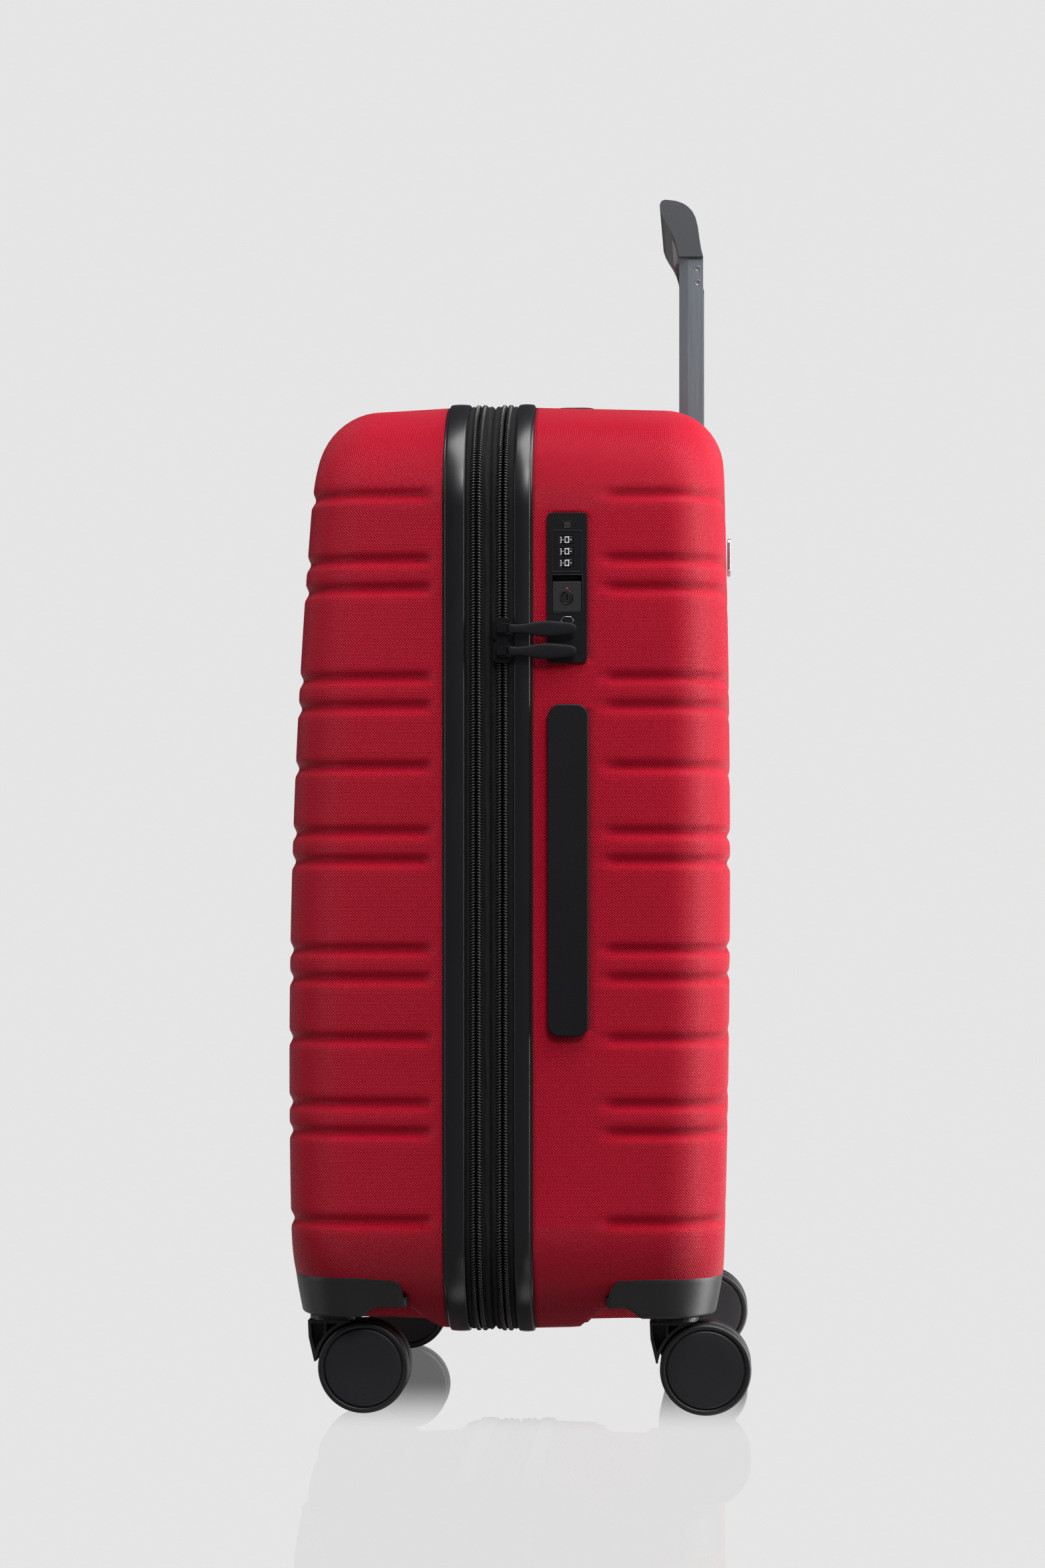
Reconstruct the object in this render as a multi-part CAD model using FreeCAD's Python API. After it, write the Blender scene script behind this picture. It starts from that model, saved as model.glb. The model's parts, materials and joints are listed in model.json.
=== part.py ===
import FreeCAD, Part
import math
import os
from FreeCAD import Vector

# Medium hard shell suitcase that stands on four twin casters.
# X is the width (the lock and side handle are on +X, the hinge on -X), Y the depth
# (the lid faces -Y, the telescopic handle is at the +Y back), Z is up. Millimetres.
# The origin is on the floor under the middle of the case.

# ---- driving dimensions -------------------------------------------------------------
SHELL_HALF_WIDTH = 218.0
SHELL_BOTTOM = 54.0
SHELL_TOP = 664.0
CORNER_RADIUS = 72.0
FACE_EDGE_RADIUS = 38.0
WALL = 1.6
FRONT_FACE = -152.3
REAR_FACE = 137.1
FRONT_CROWN_RADIUS = 4500.0
FRONT_CROWN_HEIGHT = 230.0
REAR_CROWN_RADIUS = 9000.0
REAR_CROWN_HEIGHT = 360.0

FRONT_RIM = -48.5
FRONT_TRIM_END = -33.8
REAR_TRIM_START = -1.9
REAR_RIM = 10.2
TRIM_PROUD = 4.0
TRIM_DEPTH = 5.0

EXPANSION_ZIP = -26.5
MAIN_ZIP = -9.3
BAND_FRONT = -21.0
BAND_REAR = -14.0
COIL_GAP = 0.8
COIL_WIDTH = 3.4
COIL_PROUD = 3.6
TAPE_INSET = 4.0
BAND_PROUD = -1.0

LINING_GAP = 10.5
LINING_THICK = 1.4
LINING_FRONT_START = -36.0
LINING_REAR_START = -2.0
LINING_REAR_WALL = 98.8
REAR_LINING_RADIUS = 30.0

STEM_X = 172.5
FRONT_STEM_Y = -123.5
REAR_STEM_Y = 101.5
TRAIL = 20.6
WHEEL_RADIUS = 30.0
WHEEL_WIDTH = 12.0
FORK_WEB = 9.0
WEB_RADIUS = 27.5
TYRE_THICK = 3.8
HOUSING_TOP = 91.5
HOUSING_BOTTOM = 65.0
HOUSING_ARM_BOTTOM = 71.5
HOUSING_INNER_X = 128.0
HOUSING_PROUD = 1.4

POLE_X = 75.0
POLE_Y = 111.8
POLE_WIDTH = 12.0
POLE_DEPTH = 16.4
TUBE_WALL = 1.2
TUBE_CLEARANCE = 0.1
GRIP_JUNCTION = 777.0
GRIP_HALF_WIDTH = 83.5
BEZEL_PROUD = 0.8
BEZEL_LOW = 640.0
MIDDLE_TUBE_TOP = 652.5
OUTER_TUBE_TOP = 650.5

HANDLE_LENGTH = 215.0
HANDLE_WIDTH = 26.2
HANDLE_GAP = 0.7
SIDE_HANDLE_PROUD = 6.0
TOP_HANDLE_PROUD = 7.3
HANDLE_Y = 33.4
SIDE_HANDLE_Z = 356.8

LOCK_Y = 32.6
LOCK_Z = 540.2
LOCK_HEIGHT = 97.0
LOCK_WIDTH = 26.0
LOCK_PROUD = 3.0
DIAL_HEIGHTS = (570.7, 563.2, 555.7)
DIAL_RADIUS = 8.0
DIAL_THICK = 4.6
RELEASE_Z = 534.0
KEY_Z = 533.2

SLIDER_MEET_Z = 505.6
EXPANSION_SLIDER_X = -60.0
PULL_THICK = 2.2

STRAP_HALF_LENGTH = 174.0
STRAP_LOW = 338.0
STRAP_HIGH = 363.0
BUCKLE_HALF_LENGTH = 24.0
FOOT_RADIUS = 9.0
FOOT_HEIGHT = 6.0
FOOT_LEVELS = (160.0, 560.0)
SCREW_RADIUS = 2.3
SCREW_HEIGHTS = (759.5, 769.0)
COLLAR_RADIUS = 16.0
HOOD_HALF_WIDTH = 16.0
HOOD_GAP = 1.5
HOOD_TIP_Z = 34.0
HOOD_WALL = 2.0


# ---- small helpers ------------------------------------------------------------------
def box(x0, x1, y0, y1, z0, z1):
    return Part.makeBox(x1 - x0, y1 - y0, z1 - z0, Vector(x0, y0, z0))


def rod(radius, start, length, axis):
    return Part.makeCylinder(radius, length, Vector(*start), Vector(*axis))


def mirror_x(shape):
    return shape.mirror(Vector(0, 0, 0), Vector(1, 0, 0))


def rounded_outline(half_width, z_low, z_high, radius, y):
    """Rounded rectangle in an XZ plane, as one closed wire."""
    left, right = -half_width, half_width
    k = radius * (1.0 - math.sqrt(0.5))

    def at(x, z):
        return Vector(x, y, z)

    corners = (
        (at(right - radius, z_low), at(right - k, z_low + k), at(right, z_low + radius)),
        (at(right, z_high - radius), at(right - k, z_high - k), at(right - radius, z_high)),
        (at(left + radius, z_high), at(left + k, z_high - k), at(left, z_high - radius)),
        (at(left, z_low + radius), at(left + k, z_low + k), at(left + radius, z_low)),
    )
    edges = []
    for index, (start, middle, end) in enumerate(corners):
        edges.append(Part.Arc(start, middle, end).toShape())
        following = corners[(index + 1) % 4][0]
        edges.append(Part.LineSegment(end, following).toShape())
    return Part.Wire(edges)


def slab(grow, y0, y1):
    """The case's outline, grown outwards by some millimetres, between two depths."""
    wire = rounded_outline(
        SHELL_HALF_WIDTH + grow,
        SHELL_BOTTOM - grow,
        SHELL_TOP + grow,
        CORNER_RADIUS + grow,
        y0,
    )
    return Part.Face(wire).extrude(Vector(0, y1 - y0, 0))


def frame_ring(outer_grow, inner_grow, y0, y1):
    return slab(outer_grow, y0, y1).cut(slab(inner_grow, y0 - 1.0, y1 + 1.0))


def half_body(grow, rim, face, crown_radius, crown_height):
    """One half of the case as a solid: an extruded outline with a gently bowed face."""
    direction = math.copysign(1.0, face - rim)
    outer = face + direction * grow
    body = slab(grow, rim, outer + direction * 1.0) if direction > 0 else slab(grow, outer - 1.0, rim)
    centre_y = outer - direction * crown_radius
    bow = Part.makeCylinder(
        crown_radius, 800.0, Vector(-400.0, centre_y, crown_height), Vector(1, 0, 0)
    )
    body = body.common(bow)
    far = [
        edge
        for edge in body.Edges
        if abs(edge.CenterOfMass.y - rim) > abs(face - rim) * 0.8
    ]
    return body.makeFillet(FACE_EDGE_RADIUS + grow, far)


def rounded_bar(x0, x1, y0, y1, z0, z1, radius, along):
    """A box whose four edges parallel to one axis are rounded."""
    solid = box(x0, x1, y0, y1, z0, z1)
    edges = [
        edge
        for edge in solid.Edges
        if abs(abs(edge.tangentAt(edge.FirstParameter).dot(Vector(*along))) - 1.0) < 1e-6
    ]
    return solid.makeFillet(radius, edges)


def save(name, *solids):
    flat = []
    for solid in solids:
        flat.extend(solid.Solids)
    shape = flat[0] if len(flat) == 1 else Part.makeCompound(flat)
    shape.exportStep("parts/" + name + ".step")
    print(name, len(flat), round(shape.Volume / 1000.0, 2), "cm3")


# ---- shared solids ------------------------------------------------------------------
def front_body(grow):
    return half_body(grow, FRONT_RIM, FRONT_FACE, FRONT_CROWN_RADIUS, FRONT_CROWN_HEIGHT)


def rear_body(grow):
    return half_body(grow, REAR_RIM, REAR_FACE, REAR_CROWN_RADIUS, REAR_CROWN_HEIGHT)


FRONT_WELL = (-156.0, -72.3)
REAR_WELL = (57.0, 140.0)


def well_block(side, well, clearance, top):
    """The corner space that a wheel housing takes out of the case."""
    block = box(
        HOUSING_INNER_X - clearance,
        SHELL_HALF_WIDTH + 10.0,
        well[0] - clearance,
        well[1] + clearance,
        0.0,
        top + clearance,
    )
    return block if side > 0 else mirror_x(block)


def tube_box(half_x, half_y, side, z0, z1):
    x = side * POLE_X
    return box(x - half_x, x + half_x, POLE_Y - half_y, POLE_Y + half_y, z0, z1)


# ---- front and rear shells, trims and linings ---------------------------------------
LOCK_POCKET = box(192.0, 240.0, 19.0, 46.2, LOCK_Z - 47.5, LOCK_Z + 47.5)
SIDE_PAN = box(202.8, 240.0, 22.8, 44.0, SIDE_HANDLE_Z - 104.8, SIDE_HANDLE_Z + 104.8)
TOP_PAN = box(-104.8, 104.8, 22.8, 44.0, 648.8, 690.0)
BEZEL_HOLE = box(-90.2, 90.2, 98.8, 125.2, 600.0, 700.0)
WELL_TOP_IN_SHELL = 84.0


def make_shells():
    front = front_body(0.0).cut(front_body(-WALL)).cut(slab(-WALL, FRONT_RIM - 30.0, FRONT_RIM + 1.0))
    rear = rear_body(0.0).cut(rear_body(-WALL)).cut(slab(-WALL, REAR_RIM - 1.0, REAR_RIM + 30.0))
    for side in (1, -1):
        front = front.cut(well_block(side, FRONT_WELL, 0.0, WELL_TOP_IN_SHELL))
        rear = rear.cut(well_block(side, REAR_WELL, 0.0, WELL_TOP_IN_SHELL))
    for cutter in (LOCK_POCKET, SIDE_PAN, TOP_PAN, BEZEL_HOLE):
        rear = rear.cut(cutter)
    save("front_shell", front)
    save("rear_shell", rear)
    save("front_edge_trim", frame_ring(TRIM_PROUD, -TRIM_DEPTH + 1.0, FRONT_RIM, FRONT_TRIM_END))
    save("rear_edge_trim", frame_ring(TRIM_PROUD, -TRIM_DEPTH + 1.0, REAR_TRIM_START, REAR_RIM))


def make_linings():
    t = LINING_THICK

    def flat_lining(grow, wall):
        solid = slab(grow, LINING_REAR_START, wall)
        far = [e for e in solid.Edges if abs(e.CenterOfMass.y - wall) < 0.01]
        return solid.makeFillet(REAR_LINING_RADIUS + LINING_GAP + grow, far)

    def bowed_lining(grow):
        return half_body(
            grow, LINING_FRONT_START, FRONT_FACE, FRONT_CROWN_RADIUS, FRONT_CROWN_HEIGHT
        )

    def notched(outer, inner, rim, blocks):
        """The cloth shell between two bodies, stepped inwards round some solid blocks."""
        mouth = slab(-LINING_GAP - t, rim - 1.0, rim + 1.0)
        for x0, x1, y0, y1, z0, z1 in blocks:
            outer = outer.cut(box(x0, x1, y0, y1, z0, z1))
            inner = inner.cut(box(x0 - t, x1 + t, y0 - t, y1 + t, z0 - t, z1 + t))
        return outer.cut(inner).cut(mouth)

    def well_blocks(well):
        y0, y1 = well[0] - 1.0, well[1] + 1.0
        near, far = HOUSING_INNER_X - 1.0, SHELL_HALF_WIDTH + 10.0
        return [(near, far, y0, y1, 0.0, HOUSING_TOP + 1.0), (-far, -near, y0, y1, 0.0, HOUSING_TOP + 1.0)]

    front = notched(
        bowed_lining(-LINING_GAP), bowed_lining(-LINING_GAP - t), LINING_FRONT_START,
        well_blocks(FRONT_WELL),
    )
    save("front_lining", front)
    lock = (188.0, 240.0, 16.0, 49.0, LOCK_Z - 52.0, LOCK_Z + 52.0)
    side = (176.0, 240.0, 16.0, 49.0, SIDE_HANDLE_Z - 112.0, SIDE_HANDLE_Z + 112.0)
    top = (-112.0, 112.0, 16.0, 49.0, 622.0, 700.0)
    rear = notched(
        flat_lining(-LINING_GAP, LINING_REAR_WALL), flat_lining(-LINING_GAP - t, LINING_REAR_WALL - t),
        LINING_REAR_START, well_blocks(REAR_WELL) + [lock, side, top],
    )
    save("rear_lining", rear)


# ---- zips and the cloth band between them -------------------------------------------
def make_zips():
    def tape(y_outer, y_zip):
        """A cloth tape ring with one half of the coil along its zip edge."""
        direction = math.copysign(1.0, y_zip - y_outer)
        zip_edge = y_zip - direction * COIL_GAP / 2.0
        cloth = frame_ring(0.0, -TAPE_INSET, min(y_outer, zip_edge), max(y_outer, zip_edge))
        coil_far = zip_edge - direction * COIL_WIDTH
        coil = frame_ring(COIL_PROUD, 0.0, min(coil_far, zip_edge), max(coil_far, zip_edge))
        return cloth.fuse(coil).removeSplitter()

    save("expansion_zip_front_tape", tape(FRONT_TRIM_END, EXPANSION_ZIP))
    save("expansion_zip_rear_tape", tape(BAND_FRONT, EXPANSION_ZIP))
    save("main_zip_front_tape", tape(BAND_REAR, MAIN_ZIP))
    save("main_zip_rear_tape", tape(REAR_TRIM_START, MAIN_ZIP))
    save("middle_band", frame_ring(BAND_PROUD, -TAPE_INSET, BAND_FRONT, BAND_REAR))
    save("expansion_gusset", frame_ring(-TAPE_INSET - 1.0, -TAPE_INSET - 4.5, -33.5, -21.5))

    def slider(y, z_nose, up):
        """A slider body over the coils, with its post between the two coil halves."""
        z_low, z_high = (z_nose, z_nose + 14.5) if up else (z_nose - 14.5, z_nose)
        surface = SHELL_HALF_WIDTH + COIL_PROUD + 0.4
        plate = rounded_bar(surface, surface + 2.6, y - 5.5, y + 5.5, z_low, z_high, 3.0, (1, 0, 0))
        post = box(surface - 2.2, surface, y - 0.25, y + 0.25, z_low + 5.0, z_high - 5.0)
        lug_mid = (z_low + z_high) / 2.0
        lug = box(surface + 2.6, surface + 6.2, y - 3.0, y + 3.0, lug_mid - 2.4, lug_mid + 2.4)
        pin_hole = rod(0.9, (surface + 4.4, y, lug_mid - 3.0), 6.0, (0, 0, 1))
        return plate.fuse(post).fuse(lug).cut(pin_hole).removeSplitter(), lug_mid, surface + 4.4

    def pull(y, z, pin_x):
        """A leaf shaped rubber pull with a cross pin, lying back over the rear trim."""
        start, widest, tip = y + 4.2, y + 24.0, y + 48.2
        x0 = pin_x - PULL_THICK / 2.0
        points = [
            Vector(x0, start, z - 3.6),
            Vector(x0, widest, z - 5.3),
            Vector(x0, tip, z - 3.0),
            Vector(x0, tip, z + 3.0),
            Vector(x0, widest, z + 5.3),
            Vector(x0, start, z + 3.6),
        ]
        leaf = Part.Face(Part.makePolygon(points + points[:1])).extrude(Vector(PULL_THICK, 0, 0))
        arms = []
        for sign in (-1, 1):
            z_in, z_out = z + sign * 2.7, z + sign * 3.6
            arms.append(box(x0, x0 + PULL_THICK, y - 1.2, start + 0.2, min(z_in, z_out), max(z_in, z_out)))
        pin = rod(0.84, (pin_x, y, z - 3.2), 6.4, (0, 0, 1))
        return leaf.fuse(arms[0]).fuse(arms[1]).fuse(pin).removeSplitter()

    for name, up in (("upper", True), ("lower", False)):
        body, z_mid, pin_x = slider(MAIN_ZIP, SLIDER_MEET_Z, up)
        save("main_slider_" + name, body)
        save("main_pull_" + name, pull(MAIN_ZIP, z_mid, pin_x))
    # The expansion zip's slider lies on the top of the case, its pull towards the front.
    body, z_mid, pin_x = slider(0.0, 0.0, True)
    ring_pull = pull(0.0, z_mid, pin_x)
    ring_pull.rotate(Vector(0, 0, z_mid), Vector(1, 0, 0), 180.0)
    for name, shape in (("expansion_slider", body), ("expansion_pull", ring_pull)):
        shape.rotate(Vector(0, 0, 0), Vector(0, 1, 0), -90.0)
        shape.translate(Vector(EXPANSION_SLIDER_X, EXPANSION_ZIP, SHELL_TOP - SHELL_HALF_WIDTH))
        save(name, shape)
    print("pull pin", pin_x, pin_x + SHELL_TOP - SHELL_HALF_WIDTH)


# ---- carry handles ------------------------------------------------------------------
def handle_local(proud):
    """A sprung carry handle in its own axes: X outwards, Y across, Z along its length.

    The shell's surface is at X = 0. Returns the fixed pan and the moving grip.
    """
    half = HANDLE_LENGTH / 2.0
    pan = box(-15.0, 0.4, -10.4, 10.4, -half + 3.0, half - 3.0)
    pan = pan.cut(box(-13.5, 1.0, -8.9, 8.9, -half + 4.5, half - 4.5))
    grip = rounded_bar(
        HANDLE_GAP, proud, -HANDLE_WIDTH / 2, HANDLE_WIDTH / 2, -half, half, 8.0, (1, 0, 0)
    )
    for z in (-half + 14.0, half - 14.0):
        pan = pan.cut(rod(4.06, (-20.0, 0.0, z), 10.0, (1, 0, 0)))
        post = rod(4.0, (-38.0, 0.0, z), 38.9, (1, 0, 0))
        head = rod(6.0, (-38.0, 0.0, z), 2.5, (1, 0, 0))
        grip = grip.fuse(post).fuse(head)
    return pan, grip.removeSplitter()


def make_carry_handles():
    pan, grip = handle_local(SIDE_HANDLE_PROUD)
    for shape, name in ((pan, "side_handle_pan"), (grip, "side_handle")):
        placed = shape.copy()
        placed.translate(Vector(SHELL_HALF_WIDTH, HANDLE_Y, SIDE_HANDLE_Z))
        save(name, placed)
    pan, grip = handle_local(TOP_HANDLE_PROUD)
    for shape, name in ((pan, "top_handle_pan"), (grip, "top_handle")):
        placed = shape.copy()
        placed.rotate(Vector(0, 0, 0), Vector(0, 1, 0), -90.0)
        placed.translate(Vector(0.0, HANDLE_Y, SHELL_TOP))
        save(name, placed)


# ---- combination lock ---------------------------------------------------------------
def make_lock():
    plate_back = SHELL_HALF_WIDTH + 0.2
    plate_front = SHELL_HALF_WIDTH + LOCK_PROUD
    half_h, half_w = LOCK_HEIGHT / 2.0, LOCK_WIDTH / 2.0
    plate = rounded_bar(
        plate_back, plate_front, LOCK_Y - half_w, LOCK_Y + half_w,
        LOCK_Z - half_h - 0.4, LOCK_Z + half_h - 0.4, 3.0, (1, 0, 0),
    )
    body = box(198.0, plate_back, LOCK_Y - 12.5, LOCK_Y + 12.5, LOCK_Z - 46.5, LOCK_Z + 46.5)
    case = plate.fuse(body)
    dial_x = plate_front + 0.9 - DIAL_RADIUS
    for z in DIAL_HEIGHTS:
        half = DIAL_THICK / 2.0 + 0.35
        case = case.cut(rod(DIAL_RADIUS + 0.4, (dial_x, LOCK_Y, z - half), half * 2.0, (0, 0, 1)))
    spindle_low, spindle_high = DIAL_HEIGHTS[-1] - 6.0, DIAL_HEIGHTS[0] + 6.0
    spindle = rod(1.5, (dial_x, LOCK_Y, spindle_low), spindle_high - spindle_low, (0, 0, 1))
    case = case.fuse(spindle)
    pocket = box(212.0, 240.0, LOCK_Y - 9.6, LOCK_Y + 9.6, RELEASE_Z - 10.3, RELEASE_Z + 13.8)
    keyway = box(206.0, 213.0, LOCK_Y - 6.0, LOCK_Y + 6.0, KEY_Z - 6.0, KEY_Z + 10.0)
    reset_hole = box(214.0, 240.0, LOCK_Y - 2.3, LOCK_Y + 2.3, 577.8, 582.2)
    case = case.cut(pocket).cut(keyway).cut(reset_hole).removeSplitter()
    save("lock_housing", case)
    for index, z in enumerate(DIAL_HEIGHTS, start=1):
        dial = rod(DIAL_RADIUS, (dial_x, LOCK_Y, z - DIAL_THICK / 2.0), DIAL_THICK, (0, 0, 1))
        dial = dial.cut(rod(1.55, (dial_x, LOCK_Y, z - 5.0), 10.0, (0, 0, 1)))
        save("lock_dial_%d" % index, dial)
    button = rounded_bar(
        212.4, plate_front + 0.2, LOCK_Y - 9.3, LOCK_Y + 9.3, RELEASE_Z - 10.0, RELEASE_Z + 9.7,
        0.8, (1, 0, 0),
    )
    button = button.cut(rod(3.56, (200.0, LOCK_Y, KEY_Z), 40.0, (1, 0, 0)))
    save("lock_release_button", button)
    cylinder = rod(3.5, (207.0, LOCK_Y, KEY_Z), plate_front + 0.3 - 207.0, (1, 0, 0))
    slot = box(plate_front - 3.0, 240.0, LOCK_Y - 0.5, LOCK_Y + 0.5, KEY_Z - 2.0, KEY_Z + 2.0)
    save("lock_key_cylinder", cylinder.cut(slot))
    save("lock_reset_button", box(216.0, plate_front + 0.4, LOCK_Y - 2.1, LOCK_Y + 2.1, 578.0, 582.0))
    print("dial axis x", dial_x)


# ---- telescopic handle --------------------------------------------------------------
def make_trolley():
    half_x, half_y = POLE_WIDTH / 2.0, POLE_DEPTH / 2.0
    top_tubes, mid_tubes, outer_tubes, screws = [], [], [], []
    mid_in = (half_x + TUBE_CLEARANCE, half_y + TUBE_CLEARANCE)
    mid_out = (mid_in[0] + TUBE_WALL, mid_in[1] + TUBE_WALL)
    outer_in = (mid_out[0] + TUBE_CLEARANCE, mid_out[1] + TUBE_CLEARANCE)
    outer_out = (outer_in[0] + TUBE_WALL, outer_in[1] + TUBE_WALL)
    for side in (1, -1):
        pole = tube_box(half_x, half_y, side, 217.0, GRIP_JUNCTION)
        edge_x, edge_y = side * (POLE_X + half_x), POLE_Y - half_y
        bevel = Part.Face(Part.makePolygon([
            Vector(edge_x, edge_y, 200.0),
            Vector(edge_x - side * 3.4, edge_y, 200.0),
            Vector(edge_x, edge_y + 6.0, 200.0),
            Vector(edge_x, edge_y, 200.0),
        ])).extrude(Vector(0, 0, 600.0))
        x = side * POLE_X
        hollow = box(x - 4.7, x + 4.7, POLE_Y - 2.6, POLE_Y + half_y - 1.3, 200.0, 800.0)
        pole = pole.cut(bevel).cut(hollow)
        for z in SCREW_HEIGHTS:
            # The screw heads lie just below the tube's face, so they pass into the next tube.
            x = side * (POLE_X + half_x)
            screw = rod(SCREW_RADIUS, (x - side * 1.3, POLE_Y + 4.4, z), 1.25, (side, 0, 0))
            pole = pole.cut(rod(SCREW_RADIUS, (x - side * 1.3, POLE_Y + 4.4, z), 2.0, (side, 0, 0)))
            socket = rod(1.2, (x - side * 0.8, POLE_Y + 4.4, z), 2.0, (side, 0, 0))
            screws.append(screw.cut(socket))
        top_tubes.append(pole)
        middle = tube_box(mid_out[0], mid_out[1], side, 80.0, MIDDLE_TUBE_TOP)
        mid_tubes.append(middle.cut(tube_box(mid_in[0], mid_in[1], side, 0.0, 900.0)))
        outer = tube_box(outer_out[0], outer_out[1], side, 70.0, OUTER_TUBE_TOP)
        outer_tubes.append(outer.cut(tube_box(outer_in[0], outer_in[1], side, 0.0, 900.0)))
    save("trolley_top_tubes", *top_tubes)
    save("trolley_mid_tubes", *mid_tubes)
    save("trolley_outer_tubes", *outer_tubes)
    save("grip_screws", *screws)

    bezel = box(-90.0, 90.0, 99.0, 125.0, BEZEL_LOW, SHELL_TOP + 10.0)
    bezel = bezel.common(rear_body(BEZEL_PROUD))
    foot = box(-90.0, 90.0, 99.4, 124.5, 62.5, 86.0)
    for side in (1, -1):
        bezel = bezel.cut(tube_box(outer_out[0] + 0.1, outer_out[1] + 0.1, side, 600.0, OUTER_TUBE_TOP + 0.1))
        bezel = bezel.cut(tube_box(outer_in[0], outer_in[1], side, 600.0, 700.0))
        foot = foot.cut(tube_box(outer_out[0] + 0.1, outer_out[1] + 0.1, side, 69.9, 100.0))
    save("trolley_top_bezel", bezel)
    save("trolley_foot_bracket", foot.common(rear_body(-WALL - 0.4)))

    # The grip's side view: a neck over each pole that sweeps forward and up to a nose.
    profile = [
        (103.6, GRIP_JUNCTION), (102.4, 781.0), (101.3, 786.0), (99.8, 791.0), (97.6, 795.6), (94.4, 800.6),
        (91.9, 805.2), (90.5, 809.6), (90.4, 812.8), (91.6, 815.2), (94.0, 816.0), (98.0, 815.6),
        (102.0, 815.0), (106.2, 813.4), (109.6, 811.2), (112.6, 808.0), (114.8, 803.8),
        (116.4, 797.4), (117.6, 788.7), (118.7, 782.0), (120.0, GRIP_JUNCTION),
    ]
    points = [Vector(-GRIP_HALF_WIDTH, y, z) for y, z in profile]
    grip = Part.Face(Part.makePolygon(points + points[:1])).extrude(Vector(2.0 * GRIP_HALF_WIDTH, 0, 0))
    finger_gap = rounded_bar(-62.0, 62.0, 80.0, 130.0, 740.0, 794.0, 12.0, (0, 1, 0))
    grip = grip.cut(finger_gap)
    channel = box(-78.5, 78.5, 100.0, 114.4, 797.4, 804.4)
    pocket = box(-17.6, 17.6, 100.2, 109.0, 804.0, 830.0)
    grip = grip.cut(channel).cut(pocket)
    button = rounded_bar(-17.2, 17.2, 100.6, 108.6, 804.0, 816.0, 2.0, (0, 0, 1))
    link = box(-78.0, 78.0, 100.6, 114.0, 801.2, 804.0)
    rods = []
    for side in (1, -1):
        grip = grip.cut(rod(2.6, (side * POLE_X, POLE_Y, 770.0), 30.0, (0, 0, 1)))
        link = link.cut(rod(2.0, (side * POLE_X, POLE_Y, 790.0), 30.0, (0, 0, 1)))
        rods.append(rod(2.0, (side * POLE_X, POLE_Y, 260.0), 544.0, (0, 0, 1)))
    save("trolley_grip", grip)
    save("grip_button", button.fuse(link).removeSplitter())
    save("release_rods", *rods)


# ---- casters ------------------------------------------------------------------------
def make_hood(stem_x, stem_y, axle_y, axle_z):
    """The fork's shoulder over the front of the wheels, with rib pockets open to each side."""
    reach = WHEEL_RADIUS + HOOD_GAP
    front = stem_y - COLLAR_RADIUS
    back = stem_y + COLLAR_RADIUS - 4.0
    tip_y = axle_y - math.sqrt(reach ** 2 - (HOOD_TIP_Z - axle_z) ** 2)

    def wedge(inset, half_width):
        corners = [
            Vector(stem_x - half_width, front + inset, 61.0 - inset),
            Vector(stem_x - half_width, front + 0.5 + inset, 50.0),
            Vector(stem_x - half_width, tip_y - 1.2 + inset, HOOD_TIP_Z + inset),
            Vector(stem_x - half_width, tip_y + 8.0, HOOD_TIP_Z + inset),
            Vector(stem_x - half_width, back - inset, 50.0),
            Vector(stem_x - half_width, back - inset, 61.0 - inset),
        ]
        flat = Part.Face(Part.makePolygon(corners + corners[:1]))
        solid = flat.extrude(Vector(2.0 * half_width, 0, 0))
        return solid.cut(rod(reach + inset, (stem_x - 50.0, axle_y, axle_z), 100.0, (1, 0, 0)))

    pockets = wedge(HOOD_WALL, HOOD_HALF_WIDTH + 1.0)
    pockets = pockets.cut(box(stem_x - FORK_WEB / 2, stem_x + FORK_WEB / 2, -400.0, 400.0, 0.0, 100.0))
    pockets = pockets.cut(box(-400.0, 400.0, stem_y - 5.4, stem_y - 3.6, 0.0, 100.0))
    return wedge(0.0, HOOD_HALF_WIDTH).cut(pockets)


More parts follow.
